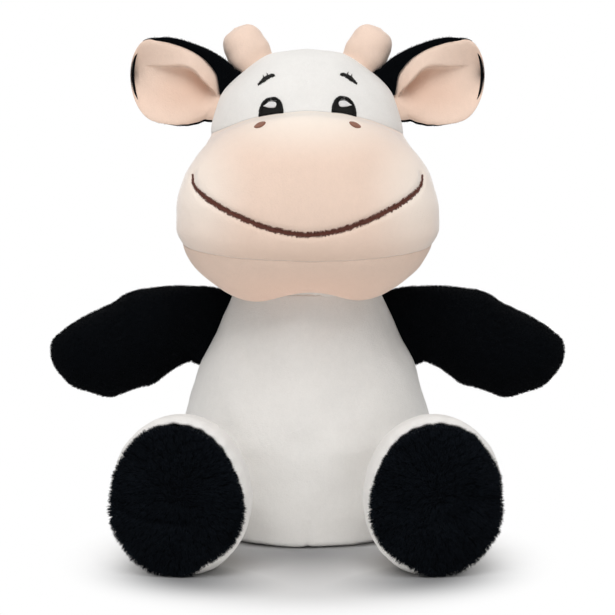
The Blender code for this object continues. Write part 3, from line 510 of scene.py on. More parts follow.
def welded(name, points, faces, finish):
    """A closed mesh object, with doubled points joined and its faces turned outwards."""
    mesh = bpy.data.meshes.new(name)
    mesh.from_pydata(points.tolist(), [], faces.tolist())
    shape = bmesh.new()
    shape.from_mesh(mesh)
    bmesh.ops.remove_doubles(shape, verts=shape.verts, dist=0.002 * MM)
    bmesh.ops.recalc_face_normals(shape, faces=shape.faces)
    if shape.calc_volume(signed=True) < 0:
        bmesh.ops.reverse_faces(shape, faces=shape.faces)
    shape.to_mesh(mesh)
    shape.free()
    return placed(name, mesh, finish)


def placed(name, mesh, finish):
    mesh.shade_smooth()
    mesh.materials.append(finish)
    made = bpy.data.objects.new(name, mesh)
    bpy.context.scene.collection.objects.link(made)
    return made


def mirror(grid, side):
    return grid * (side, 1, 1)


# Forms of the pieces, at any grain

def torso(share, angle):
    rim = NECK_RADIUS + 2 * GAP + CLOTH + NECK_LIP
    table = [(s, TORSO_HALF_WIDTH * w, TORSO_FRONT * f, TORSO_BACK * b) for s, w, f, b in TORSO_SHARES]
    wide, front, back = follow(table + [(1.0, rim, rim, rim)], share)
    depth = np.where(np.sin(angle) > 0, front, back)
    return place_at(wide * np.cos(angle), -depth * np.sin(angle), TORSO_HEIGHT * share)


def head(place, angle):
    rim = math.sqrt(NECK_RADIUS ** 2 - HEAD_RIM_RISE ** 2) + 2 * GAP + CLOTH + HEAD_LIP
    table = [(index, HEAD_HEIGHT * side, HEAD_HALF_WIDTH * wide, MUZZLE_BULGE * bulge,
              MUZZLE_FRONT * front, HEAD_HEIGHT * lift, HEAD_BACK * back, JOWL_DROP * jowl)
             for index, (side, wide, bulge, front, lift, back, jowl) in enumerate(HEAD_SHARES)]
    table.append((len(HEAD_SHARES), HEAD_RIM_RISE, rim, 0, rim, 0, rim, 0))
    side, wide, bulge, front, lift, back, jowl = follow(table, place)
    turn = np.sin(angle)
    ahead = turn >= 0
    across = wide * np.cos(angle) + np.where(ahead, bulge * np.sin(2 * angle), 0)
    deep = np.where(ahead, -front * turn, -back * turn)
    level = side + np.where(ahead, lift * turn ** 2 - JOWL_PAD_SHARE * jowl * lobe(angle), 0)
    return place_at(across, deep, TORSO_HEIGHT + level)


def lobe(angle):
    """Depth of a jowl round the front, which is full at a third and two thirds of the half turn."""
    peak = math.sin(math.pi / 3) ** 6 * math.cos(math.pi / 3) ** 2
    return np.sin(angle) ** 6 * np.cos(angle) ** 2 / peak


def seam_of(joint):
    """Middle of a left seam, its upward or sideways run, and its way out of the body."""
    found = next(item for item in frame["joints"] if item["name"] == joint)
    along = -np.array(found["axis"], float)
    out = np.array([along[2], 0, -along[0]]) if abs(along[2]) > 0.5 else np.array([along[1], -along[0], 0])
    return np.array(found["pos_m"], float), along, out


def arm(share, turn, deep_in=0.0):
    """A point of the left arm. Shares below zero run round its root edge, into the body by deep_in."""
    root, along, out = seam_of("arm_left_swing")
    bend = np.clip(-share, 0, 1) * math.pi / 2
    corner = ARM_ROOT_HALF * (1 - ROOT_CORNER_SHARE * np.sin(bend) ** 2)
    run = np.sin(math.pi / 2 * np.clip(share, 0, 1))
    tall_share, deep_share, drop_share = follow(ARM_SHARES, share)
    tall = np.where(share < 0, corner, ARM_HALF_HEIGHT * tall_share)
    deep = np.where(share < 0, ARM_EDGE, ARM_HALF_DEPTH * deep_share)
    deep = np.hypot(deep, ARM_ROOT_SWELL * np.exp(-(np.maximum(share, 0) / ARM_SWELL_END) ** 2))
    deep = deep * np.where(share < 0, np.cos(bend), 1)
    centre = root + place_at(ARM_REACH * run, 0, -ARM_DROP * np.where(share < 0, 0, drop_share))
    centre = centre - out * (np.sin(bend) * (ARM_EDGE + deep_in))[..., None]
    part = np.clip(share / ARM_UPRIGHT_SHARE, 0, 1)[..., None]
    lean = unit(along * (1 - part) + np.array([0, 0, 1.0]) * part)
    return centre + lean * (tall * np.cos(turn))[..., None] - place_at(0, deep * np.sin(turn), 0)


def leg_aim():
    """Directions ahead of and across the left leg at its sole, and how far its middle rises to there."""
    ahead = np.array([math.sin(LEG_SPLAY), -math.cos(LEG_SPLAY), 0])
    across = np.array([math.cos(LEG_SPLAY), math.sin(LEG_SPLAY), 0])
    return ahead, across, np.array([0, 0, LEG_HALF_HEIGHT - FLOOR_CUT - LEG_HEIGHT])


def leg(share, turn, deep_in=0.0):
    """A point of the left leg. Shares below zero run round its root edge."""
    root, along, out = seam_of("leg_left_lift")
    ahead, across, rise = leg_aim()
    bend = np.clip(-share, 0, 1) * math.pi / 2
    wide_share, tall_share = follow(LEG_SHARES, share)
    corner = LEG_ROOT_HALF * (1 - ROOT_CORNER_SHARE * np.sin(bend) ** 2)
    wide = np.where(share < 0, corner, LEG_HALF_WIDTH * wide_share)
    tall = np.where(share < 0, LEG_EDGE * np.cos(bend), LEG_HALF_HEIGHT * tall_share)
    run = np.clip(share, 0, 1)
    part = np.clip(run / LEG_TURN_SHARE, 0, 1)[..., None]
    part = part ** 2 * (3 - 2 * part)
    side = unit(along * (1 - part) + across * part)
    centre = root + (ahead * LEG_LENGTH + rise) * run[..., None]
    centre = centre - out * (np.sin(bend) * (LEG_EDGE + deep_in))[..., None]
    return centre + side * (wide * np.cos(turn))[..., None] + place_at(0, 0, tall * np.sin(turn))


def sole(step, turn):
    """A point of the left sole, from the middle of its back, round its edge, to the middle of its front."""
    root, _, _ = seam_of("leg_left_lift")
    ahead, across, rise = leg_aim()
    reach, depth = follow([(index, *row) for index, row in enumerate(SOLE_SHARES)], step)
    forward = SOLE_THICKNESS * np.minimum(depth, 1) + SOLE_CROWN * np.maximum(depth - 1, 0)
    middle = root + rise + ahead * (LEG_LENGTH + GAP + forward)[..., None]
    ring = across * (LEG_HALF_WIDTH * reach * np.cos(turn))[..., None]
    return middle + ring + place_at(0, 0, LEG_HALF_HEIGHT * reach * np.sin(turn))


def ear(run, place):
    """A point of the left ear's cupped sheet. Place runs from -1 at its lower rim to 1 at its upper rim."""
    root, along, out = seam_of("ear_left_flap")
    past = np.maximum(run, 0)
    tip = np.clip((run - EAR_TIP_START) / (1 - EAR_TIP_START), 0, 1)
    tall = EAR_HALF_HEIGHT * follow(EAR_SHARES, np.minimum(run, EAR_TIP_START))[0] * np.sqrt(1 - tip ** 2)
    place = np.where(place < 0, place * follow(EAR_LOW, run)[0], place)
    cup = EAR_CUP * place ** 2 * np.sin(math.pi / 2 * np.clip(run / EAR_CUP_SHARE, 0, 1))
    sag = EAR_CUP * EAR_TIP_SHARE * past ** 2
    upright = np.clip(run / EAR_UPRIGHT_SHARE, 0, 1)[..., None]
    lean = unit(along * (1 - upright) + np.array([0, 0, 1.0]) * upright)
    centre = root - out * EAR_EDGE + place_at(EAR_REACH * past, 0, EAR_RISE * past ** EAR_RISE_POWER)
    centre = centre + out * (EAR_REACH * np.minimum(run, 0))[..., None]
    return centre + lean * (tall * place)[..., None] - place_at(0, cup - sag, 0)


def horn(foot, run, turn):
    """A point of the left horn. Runs below zero lie under the head's cloth."""
    lean = np.array([math.sin(HORN_LEAN), 0, math.cos(HORN_LEAN)])
    across = np.array([math.cos(HORN_LEAN), 0, -math.sin(HORN_LEAN)])
    radius = HORN_RADIUS * follow(HORN_SHARES, run)[0]
    centre = foot + lean * (HORN_LENGTH * run)[..., None]
    return centre + across * (radius * np.cos(turn))[..., None] + place_at(0, radius * np.sin(turn), 0)


def tail_line(share):
    """Centre of the tail at shares of its run: out of the seam, then down."""
    turn = math.pi / 2 * np.clip(share, 0, 1)
    start, _, _ = seam_of("tail_lift")
    return start + place_at(0, TAIL_REACH * np.sin(turn) + TAIL_REACH * np.minimum(share, 0),
                            -TAIL_DROP * (1 - np.cos(turn)))


def around(centres, radius, turn):
    """Rings round a line of centres that bends in the plane of Y and Z."""
    along = unit(np.gradient(centres, axis=0))
    other = np.cross(along, (1.0, 0, 0))
    return (centres[:, None] + np.array([1.0, 0, 0]) * (radius[:, None] * np.cos(turn))[..., None]
            + other[:, None] * (radius[:, None] * np.sin(turn))[..., None])


# Pile, fur and thread

def strands(name, side, fields, finish, settings, seed, mask=None):
    """Thin three-sided strands over a grid of cloth. Fields are its points, normals and comb. Settings
    are strands per square millimetre, length, half thickness, lean, disorder and how tufts gather."""
    grid, normals, comb = (mirror(field, side) for field in fields)
    per_mm, length, thick, lean, disorder, gather = settings
    draw = np.random.default_rng(seed)
    sides = np.cross(grid[1:, 1:] - grid[:-1, :-1], grid[1:, :-1] - grid[:-1, 1:])
    area = np.linalg.norm(sides, axis=-1) / 2
    if mask is not None:
        area = area * mask[:-1, :-1]
    count = int(area.sum() / MM ** 2 * per_mm)
    total = area.ravel().cumsum()
    cell = np.searchsorted(total, (np.arange(count) + draw.random(count)) / count * total[-1])
    row, column = np.unravel_index(np.clip(cell, 0, area.size - 1), area.shape)
    u, v = draw.random((2, count, 1))

    def blend(field):
        top = field[row, column] * (1 - u) + field[row, column + 1] * u
        low = field[row + 1, column] * (1 - u) + field[row + 1, column + 1] * u
        return top * (1 - v) + low * v

    foot, out = blend(grid), unit(blend(normals))
    way = blend(comb)
    way = unit(way - out * (way * out).sum(-1, keepdims=True))
    reach = length * draw.uniform(0.6, 1.08, (count, 1))
    swirl = draw.normal(size=(count, 3)) * disorder
    aim = unit(out * math.cos(lean) + way * math.sin(lean) + swirl)
    tip = foot + aim * reach
    tufts = slice(None, None, max(int(per_mm * 7), 1))
    near, _ = nearest(foot, foot[tufts])
    tip = tip + (tip[tufts][near] - tip) * gather * draw.uniform(0.3, 1.0, (count, 1))
    middle = foot + (tip - foot) * 0.5 + out * reach * 0.14
    one = unit(np.cross(out, draw.normal(size=(count, 3))))
    two = np.cross(out, one)
    turns = [2 * math.pi * k / 3 for k in range(3)]
    low = [foot - out * 0.15 * MM + (one * math.cos(t) + two * math.sin(t)) * thick for t in turns]
    high = [middle + (one * math.cos(t) + two * math.sin(t)) * thick * 0.8 for t in turns]
    points = np.stack(low + high + [tip], 1).reshape(-1, 3)
    corners = [(0, 2, 1)]
    for k in range(3):
        n = (k + 1) % 3
        corners += [(k, n, n + 3), (k, n + 3, k + 3), (k + 3, n + 3, 6)]
    faces = (np.arange(count)[:, None, None] * 7 + np.array(corners)[None]).reshape(-1, 3)
    mesh = bpy.data.meshes.new(name)
    mesh.vertices.add(len(points))
    mesh.vertices.foreach_set("co", points.astype(np.float32).ravel())
    mesh.loops.add(faces.size)
    mesh.loops.foreach_set("vertex_index", faces.astype(np.int32).ravel())
    mesh.polygons.add(len(faces))
    mesh.polygons.foreach_set("loop_start", (np.arange(len(faces)) * 3).astype(np.int32))
    mesh.update(calc_edges=True)
    return placed(name, mesh, finish)


def stitches(name, starts, ends, surface, finish, thick, lift, way=1):
    """One thread for each start and end, given as places across and up, laid over the cloth. They are
    laid on the side that a look along Y, or against it with a way of -1, meets first."""
    grain = 7
    part = np.linspace(0, 1, grain)
    points, faces = [], []
    ring = [(math.cos(t), math.sin(t)) for t in (math.pi / 4 * (2 * k + 1) for k in range(4))]
    for start, end in zip(np.array(starts, float), np.array(ends, float)):
        line, outs = [], []
        for share in part:
            across, level = start + (end - start) * share
            spot, out, _, _ = surface.ray_cast(Vector((across, -way, level)), Vector((0, way, 0)))
            if spot is None:
                raise ValueError(name + " misses the cloth")
            line.append(np.array(spot))
            outs.append(np.array(out if out.y * way < 0 else -out))
        line, outs = np.array(line), unit(np.array(outs))
        rise = np.clip(np.minimum(part, 1 - part) / 0.16, 0, 1) ** 0.6
        line = line + outs * ((lift + 0.3 * MM) * rise - 0.3 * MM)[:, None]
        run = unit(np.gradient(line, axis=0))
        side = unit(np.cross(run, outs))
        base = len(points)
        points.append(line[0])
        for k in range(1, grain - 1):
            for x, y in ring:
                points.append(line[k] + side[k] * (x * thick) + outs[k] * (y * thick * 0.8))
        points.append(line[-1])
        last = base + 1 + 4 * (grain - 2)
        for k in range(4):
            n = (k + 1) % 4
            faces.append((base, base + 1 + n, base + 1 + k))
            faces.append((last, last - 4 + k, last - 4 + n))
            for row in range(grain - 3):
                low = base + 1 + 4 * row
                faces.append((low + k, low + n, low + 4 + n, low + 4 + k))
    mesh = bpy.data.meshes.new(name)
    mesh.from_pydata([list(p) for p in points], [], faces)
    shape = bmesh.new()
    shape.from_mesh(mesh)
    bmesh.ops.recalc_face_normals(shape, faces=shape.faces)
    shape.to_mesh(mesh)
    shape.free()
    return placed(name, mesh, finish)


# Finishes

class Wire:
    """A socket of a material, with sums that add Math nodes."""

    def __init__(self, finish, socket):
        self.finish = finish
        self.socket = socket

    def maths(self, kind, first, second):
        return self.finish.node("ShaderNodeMath", {"operation": kind}, {0: first, 1: second})

    def __add__(self, other):
        return self.maths("ADD", self, other)

    def __radd__(self, other):
        return self.maths("ADD", other, self)

    def __sub__(self, other):
        return self.maths("SUBTRACT", self, other)

    def __rsub__(self, other):
        return self.maths("SUBTRACT", other, self)

    def __mul__(self, other):
        return self.maths("MULTIPLY", self, other)

    def __rmul__(self, other):
        return self.maths("MULTIPLY", other, self)


class Finish:
    """A material of one Principled shader and the nodes that feed it."""

    def __init__(self, name, even):
        self.material = bpy.data.materials.new(name)
        self.material.use_nodes = True
        self.tree = self.material.node_tree
        self.shader = self.tree.nodes["Principled BSDF"]
        for socket, value in even.items():
            self.shader.inputs[socket].default_value = value

    def node(self, kind, settings=None, inputs=None, out=0):
        """One output of a new node of a kind, whose settings are set before its inputs."""
        made = self.tree.nodes.new(kind)
        for name, value in (settings or {}).items():
            setattr(made, name, value)
        for name, value in (inputs or {}).items():
            self.feed(made.inputs[name], value)
        return Wire(self, made.outputs[out])

    def feed(self, socket, value):
        if isinstance(value, Wire):
            self.tree.links.new(value.socket, socket)
        else:
            socket.default_value = value

    def place(self, stretch=(1, 1, 1)):
        """Places on the piece, stretched along its axes."""
        return self.vector("MULTIPLY", self.node("ShaderNodeTexCoord", out="Object"), stretch)

    def noise(self, size, detail, stretch=(1, 1, 1)):
        """Cloudy values from 0 to 1, with lumps of about one size in metres."""
        inputs = {"Vector": self.place(stretch), "Scale": 1 / size, "Detail": detail}
        return self.node("ShaderNodeTexNoise", None, inputs)

    def around(self, spot, reach):
        """One at a spot, and at its mirror image across the middle, fading to nothing at a reach each way."""
        both = self.node("ShaderNodeVectorMath", {"operation": "ABSOLUTE"}, {0: self.place()})
        away = self.vector("DIVIDE", self.vector("SUBTRACT", both, spot), reach)
        return self.ramp(self.size_of(away), 0.0, 1.0, 1.0, 0.0)

    def size_of(self, way):
        """Length of a vector, which is output 1 of its node."""
        return self.node("ShaderNodeVectorMath", {"operation": "LENGTH"}, {0: way}, 1)

    def vector(self, kind, first, second):
        """A node of vector maths on two vectors."""
        return self.node("ShaderNodeVectorMath", {"operation": kind}, {0: first, 1: second})

    def ramp(self, value, start, end, first, last):
        """A value's smooth change from first to last while it runs from start to end."""
        ends = {"Value": value, "From Min": start, "From Max": end, "To Min": first, "To Max": last}
        return self.node("ShaderNodeMapRange", {"interpolation_type": "SMOOTHSTEP"}, ends)

    def mix(self, factor, first, second):
        """A colour between two colours, which are inputs 6 and 7 and output 2 of a Mix node."""
        return self.node("ShaderNodeMix", {"data_type": "RGBA"}, {0: factor, 6: first, 7: second}, 2)

    def finish(self, colour, rough, height, relief):
        self.feed(self.shader.inputs["Base Color"], colour)
        self.feed(self.shader.inputs["Roughness"], rough)
        bump = self.node("ShaderNodeBump", None, {"Strength": relief, "Distance": 1 * MM, "Height": height})
        self.feed(self.shader.inputs["Normal"], bump)
        return self.material


def shade(colour, factor):
    """A colour made darker or lighter, with its alpha."""
    return (*[min(value * factor, 1.0) for value in colour[:3]], 1.0)


def minky(name, colour, dark=0.9, light=1.04, sheen=0.3, gloss=0.2, painted_tones=()):
    """Short-pile plush cloth: soft mottling, brushed streaks, fine pile, a velvet sheen, and any spots of painted
    light and painted shade.
    """
    made = Finish(name, {"Sheen Weight": sheen, "Sheen Roughness": 0.45, "Specular IOR Level": gloss})
    mottle = made.noise(24 * MM, 3.0)
    brushed = made.noise(2.4 * MM, 2.0, (1.0, 1.0, 0.7))
    fine = made.noise(0.6 * MM, 3.0)
    tone = mottle * 0.4 + brushed * 0.25 + fine * 0.35
    tone = (tone - 0.5) * 1.6 + 0.5
    tint = made.mix(tone, shade(colour, dark), shade(colour, light))
    # Spots of painted light and painted shade, mixed over the cloth's own colour
    for spot, reach, painted_tone in painted_tones:
        tint = made.mix(made.around(spot, reach), tint, painted_tone)
    return made.finish(tint, 0.82 + fine * 0.12, fine * 0.6 + brushed * 0.5, 0.3)


def black_minky(name, colour):
    """Black plush cloth under its pile, without sheen."""
    return minky(name, colour, 0.7, 1.4, 0.0, gloss=0.04)


def fur(name, colour):
    """Strands of pile whose tone changes from tuft to tuft."""
    made = Finish(name, {"Sheen Roughness": 0.5, "Specular IOR Level": 0.04})
    tuft = made.noise(1.6 * MM, 2.0)
    patch = made.noise(14 * MM, 2.0)
    tone = (tuft * 0.6 + patch * 0.4 - 0.5) * 2.4 + 0.5
    tint = made.mix(tone, shade(colour, 0.5), shade(colour, 1.7))
    return made.finish(tint, 0.6 + tuft * 0.2, tuft, 0.1)


def thread(name, colour, gloss=0.3):
    """Satin thread: fine twist along each stitch and small changes of tone between stitches."""
    made = Finish(name, {"Specular IOR Level": gloss})
    twist = made.noise(0.3 * MM, 2.0)
    patch = made.noise(2.5 * MM, 2.0)
    tint = made.mix(twist * 0.6 + patch * 0.4, shade(colour, 0.7), shade(colour, 1.3))
    return made.finish(tint, 0.42 + twist * 0.2, twist, 0.3)


def fibre(name, colour):
    """Loose polyester fill: tangled, bright and matt."""
    made = Finish(name, {"Sheen Weight": 0.2, "Specular IOR Level": 0.2})
    tangle = made.noise(1.2 * MM, 6.0, (1.0, 0.5, 2.0))
    clumps = made.noise(9 * MM, 3.0)
    tint = made.mix(tangle * 0.6 + clumps * 0.4, shade(colour, 0.8), shade(colour, 1.05))
    return made.finish(tint, 0.85 + tangle * 0.1, tangle + clumps, 0.8)


# What a user would change

def length(name, description, value):
    return bpy.props.FloatProperty(name=name, description=description, default=value,
                                   unit="LENGTH", precision=5)


def number(name, description, value):
    return bpy.props.FloatProperty(name=name, description=description, default=value)


def colour(name, description, value):
    return bpy.props.FloatVectorProperty(name=name, description=description, default=value,
                                         size=3, subtype="COLOR", min=0.0, max=1.0)


class PlushCowCloth(bpy.types.PropertyGroup):
    """How the cloth lies over the fill."""

    seam_depth: length("Seam depth", "How far a seam draws the cloth of the torso and arms in", 1.3 * MM)
    head_seam_depth: length("Head seam depth", "How far a seam draws the cloth of the head in", 0.7 * MM)
    seam_width: length("Seam width", "How far from a seam the cloth has risen again", 2.6 * MM)
    smile_depth: length("Smile depth", "How far the smile's stitches draw the muzzle in", 1.2 * MM)
    lumps: length("Lumps", "Height of the soft lumps of the fill", 0.45 * MM)
    gathers: length("Gathers", "Height of the ripples where a leg meets its sole", 0.35 * MM)


class PlushCowPile(bpy.types.PropertyGroup):
    """Lengths and densities of the pile that stands off the cloth."""

    arm_pile: length("Arm pile", "Length of the pile on the arms and ears", 1.3 * MM)
    sole_pile: length("Sole fur", "Length of the fur on the soles", 3.1 * MM)
    tuft_pile: length("Tuft fur", "Length of the fur on the tail's tuft", 4.5 * MM)
    arm_density: number("Arm density", "Strands to a square millimetre on the arms", 3.2)
    sole_density: number("Sole density", "Strands to a square millimetre on the soles", 6.0)


class PlushCowColours(bpy.types.PropertyGroup):
    """Colours of the cloth, fur and thread."""

    white: colour("White", "White minky", (0.87, 0.85, 0.82))
    cream: colour("Cream", "Cream minky", (0.88, 0.675, 0.555))
    black: colour("Black", "Black minky and fur", (0.0018, 0.0024, 0.0034))
    brown: colour("Brown", "Thread of the smile", (0.105, 0.028, 0.016))
    rose: colour("Rose", "Thread of the nostrils", (0.27, 0.115, 0.072))
    ink: colour("Ink", "Thread of the eyes and brows", (0.006, 0.0055, 0.005))
    pearl: colour("Pearl", "Thread of the glints", (0.95, 0.90, 0.89))


class PlushCowStudio(bpy.types.PropertyGroup):
    """Camera, floor and lamps."""

    distance: length("Distance", "Camera to the middle of the cow", 1.2)
    elevation: bpy.props.FloatProperty(name="Elevation", description="Angle of the camera above the floor",
                                       default=math.radians(6.5), subtype="ANGLE")
    aim: length("Aim", "Height that the camera looks at", 106.4 * MM)
    lens: number("Lens", "Focal length in millimetres", 149.4)
    key: number("Key lamp", "Power of the lamp above the front, in watts", 14.5)
    rim: number("Rim lamp", "Power of the lamp above the back, in watts", 3.0)
    world: number("World", "Strength of the even light from all round", 0.40)


def settings(context):
    scene = context.scene
    return scene.plush_cow_cloth, scene.plush_cow_pile, scene.plush_cow_colours


# Making the pieces

def drawn_in(grid, seams, depth, width):
    """How far each point of a panel sinks towards its seams."""
    found = runs(grid)
    sink = np.zeros(grid.shape[:2])
    for seam in seams:
        sink = np.maximum(sink, np.exp(-found[seam] / width))
    return sink * depth


def lumpy(points, cloth, seed):
    return cloth.lumps * (waves(points, 34 * MM, seed) + 0.3 * waves(points, 11 * MM, seed + 1))


def creased(points, route, depth, width):
    """How far each point sinks towards a route, or a single spot."""
    _, away = nearest(points, route)
    return -depth * np.exp(-(away / width) ** 2)


def panels(whole, normals, height, parts, depth, width):
    """Outer points of a whole form with every panel's seams drawn in. Parts hold rows, columns and seams."""
    sink = np.zeros(whole.shape[:2])
    for rows, columns, seams in parts:
        spot = np.ix_(rows, columns)
        sink[spot] = np.maximum(sink[spot], drawn_in(whole[spot], seams, depth, width))
    return whole + normals * (height - sink)[..., None]


def halves(rows, half):
    """Rows, columns and seams of the front and of the back panel of a form."""
    sides = np.arange(half + 1), np.arange(half, 2 * half + 1) % (2 * half)
    return [(np.arange(rows), columns, ("first_side", "last_side")) for columns in sides]


def surface_of(grid):
    """What a thread that comes from outside meets first, on a grid that runs all round."""
    faces = quads(*grid.shape[:2], True)
    return BVHTree.FromPolygons(grid.reshape(-1, 3).tolist(), faces.tolist())


def hold(piece, slot, *nodes, body=None, blend=None, fill=None):
    """Hides the solids that a piece stands for, if any, and parents the piece to its body, or, given a blend,
    bakes its place into its mesh. The finish slot is not used.
    """
    if nodes:
        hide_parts(*nodes)
    if blend:
        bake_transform(piece)
    else:
        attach(piece, body)


def dress_torso(context):
    cloth, _, tint = settings(context)
    white = minky("white_minky_torso", tint.white)
    shares = np.linspace(0.2 * MM / TORSO_HEIGHT, 1, 120)[:, None]
    half = 110
    angles = full_turn(2 * half)
    whole = torso(shares, angles)
    normals = facing(whole, True)
    parts = halves(len(shares), half)
    height = lumpy(whole, cloth, 11)
    dart = smooth_route([torso(np.array(s), np.array(math.pi / 2)) for s in (0.0, 0.05, 0.11)], 12)
    height = height + creased(whole, dart, DART_DEPTH, DART_WIDTH)
    closing = smooth_route([torso(np.array(s), np.array(math.pi * 1.5)) for s in np.linspace(0.0, 1, 9)], 12)
    height = height + creased(whole, closing, CLOSING_DEPTH, CLOSING_WIDTH)
    for spot, deep, wide in TORSO_DENTS:
        height = height + creased(whole, [np.array(spot) * MM], deep * MM, wide * MM)
    outer = panels(whole, normals, height, parts, cloth.seam_depth, cloth.seam_width)
    outer[..., 2] = np.maximum(outer[..., 2], 0)
    inner = outer - normals * CLOTH
    inner[..., 2] = np.maximum(inner[..., 2], 0)
    for word, (_, columns, _) in zip(("front", "back"), parts):
        piece = cover("torso_" + word + "_cloth", outer[:, columns], inner[:, columns], white)
        hold(piece, "white_minky", "torso_" + word + "_panel", body="torso", fill=0.8)
    dress_seat(white, angles)
    dress_neck(white)
    close_back(surface_of(outer), tint)


def dress_seat(finish, angles):
    """The flat seat panel inside the torso's lower rim."""
    rim = torso(np.zeros((1, 1)), angles)[0]
    middle = rim.mean(0)
    grid = np.array([middle + (rim - middle) * reach for reach, _ in SEAT_RINGS])
    grid[..., 2] = [[BASE_THICKNESS * level] for _, level in SEAT_RINGS]
    hold(lathed("torso_seat_cloth", grid, finish), "white_minky", "torso_base_panel", body="torso")


def dress_neck(finish):
    """The neck's ball, gathered by its stitching, and the collar of cloth from the torso to the head."""
    level = np.linspace(-math.pi / 2, math.pi / 2, 60)[:, None]
    turn = full_turn(120)
    radius = NECK_RADIUS - 0.25 * MM + 0.25 * MM * np.sin(turn * 34) * np.cos(level) ** 2
    ball = place_at(radius * np.cos(level) * np.cos(turn), radius * np.cos(level) * np.sin(turn),
                    radius * np.sin(level) + TORSO_HEIGHT)
    hold(lathed("neck_cloth", ball, finish), "white_minky", "neck_fill", body="neck")
    part = np.linspace(0, 1, 41)[:, None]
    low = NECK_RADIUS + 2 * GAP + NECK_LIP + COLLAR_SEAT
    high = math.sqrt(NECK_RADIUS ** 2 - HEAD_RIM_RISE ** 2) + 2 * GAP + HEAD_LIP + COLLAR_SEAT
    gathers = COLLAR_PUFF + COLLAR_GATHER * np.sin(turn * 41 + np.sin(turn * 5))
    wide = low + (high - low) * part + np.sin(math.pi * part) ** 0.8 * gathers
    tall = TORSO_HEIGHT - COLLAR_TUCK + (HEAD_RIM_RISE + 2 * COLLAR_TUCK) * part + 0 * turn
    outer = place_at(wide * np.cos(turn), wide * np.sin(turn), tall)
    inner = outer - place_at(np.cos(turn), np.sin(turn), 0 * turn) * COLLAR_SEAT
    collar = cover("neck_collar_cloth", outer, inner, finish, wrap=True)
    bend = ("neck", "head", (0, 0, TORSO_HEIGHT), (0, 0, TORSO_HEIGHT + HEAD_RIM_RISE))
    hold(collar, "white_minky", blend=bend)


def close_back(surface, tint):
    """Ladder stitches down the middle of the back, where the fill went in."""
    levels = np.arange(56 * MM, 92 * MM, CLOSING_PITCH)
    starts = [(-0.9 * MM, level) for level in levels]
    ends = [(0.9 * MM, level + 0.5 * MM) for level in levels]
    white = thread("closing_thread", tint.white)
    piece = stitches("closing_stitches", starts, ends, surface, white, 0.22 * MM, 0.12 * MM, way=-1)
    hold(piece, "white_minky", body="torso")


def head_grid():
    """The whole head at a fine grain, with the rows and columns of each panel."""
    crown, muzzle, chin, front, back = 60, 110, 44, 170, 110
    places = np.concatenate([np.linspace(0, MUZZLE_SEAM_ROW, crown + 1),
                             np.linspace(MUZZLE_SEAM_ROW, CHIN_SEAM_ROW, muzzle + 1)[1:],
                             np.linspace(CHIN_SEAM_ROW, len(HEAD_SHARES), chin + 1)[1:]])
    angles = np.concatenate([np.linspace(0, math.pi, front + 1)[:-1],
                             np.linspace(math.pi, 2 * math.pi, back + 1)[:-1]])
    whole = head(places[:, None], angles[None])
    ahead = np.arange(front + 1)
    behind = np.arange(front, front + back + 1) % len(angles)
    rows = {"crown": np.arange(crown + 1), "muzzle": np.arange(crown, crown + muzzle + 1),
            "chin": np.arange(crown + muzzle, len(places)), "back": np.arange(len(places))}
    columns = {"crown": ahead, "muzzle": ahead, "chin": ahead, "back": behind}
    return whole, rows, columns


def smile_points():
    """The smile's line across the face, from cheek to cheek, as places across and up."""
    tall = HEAD_HEIGHT * SMILE_RISE_SHARE
    half = [(SMILE_HALF_WIDTH * SMILE_STRETCH * wide, tall * rise) for wide, rise in SMILE_SHARES]
    route = smooth_route([(-x, z) for x, z in half[:0:-1]] + half, 12)
    return route + (0, TORSO_HEIGHT + HEAD_HEIGHT * SMILE_HEIGHT_SHARE)


def over_face(surface, flat):
    """Places across and up, dropped on the face."""
    found = []
    for across, level in flat:
        spot, _, _, _ = surface.ray_cast(Vector((across, -1.0, level)), Vector((0, 1, 0)))
        if spot is None:
            raise ValueError("a line of the face misses the head")
        found.append(np.array(spot))
    return np.array(found)


def dress_head(context):
    cloth, _, tint = settings(context)
    whole, rows, columns = head_grid()
    normals = facing(whole, True)
    plain = surface_of(whole)
    height = lumpy(whole, cloth, 21) * 0.6
    height = height + creased(whole, over_face(plain, smile_points()), cloth.smile_depth, 2.0 * MM)
    middle = [(0.0, TORSO_HEIGHT + HEAD_HEIGHT * share) for share in (0.995, 0.93, 0.86, 0.78)]
    height = height + creased(whole, over_face(plain, middle), CROWN_SEAM_DEPTH, CROWN_SEAM_WIDTH)
    ends = ("last_row", "first_side", "last_side")
    every = ("first_row", *ends)
    seams = {"crown": ends, "muzzle": every, "chin": every, "back": ends}
    parts = [(rows[word], columns[word], seams[word]) for word in rows]
    outer = panels(whole, normals, height, parts, cloth.head_seam_depth, cloth.seam_width)
    inner = outer - normals * CLOTH
    white = minky("white_minky_head", tint.white)
    cream = minky("cream_minky_muzzle", tint.cream, 0.92, 1.05, sheen=0.8, painted_tones=MUZZLE_PAINTED_LIGHT_AND_SHADE)
    chin = minky("cream_minky_chin", tint.cream, 0.88, 1.02, painted_tones=CHIN_PAINTED_LIGHT)
    for word, node, slot, finish in (("crown", "head_crown_panel", "white_minky", white),
                                     ("muzzle", "muzzle_panel", "cream_minky", cream),
                                     ("chin", "chin_panel", "cream_minky", chin),
                                     ("back", "head_back_panel", "white_minky", white)):
        spot = np.ix_(rows[word], columns[word])
        piece = cover("head_" + word + "_cloth", outer[spot], inner[spot], finish)
        hold(piece, slot, node, body="head", fill=0.9)
    return outer, rows, columns


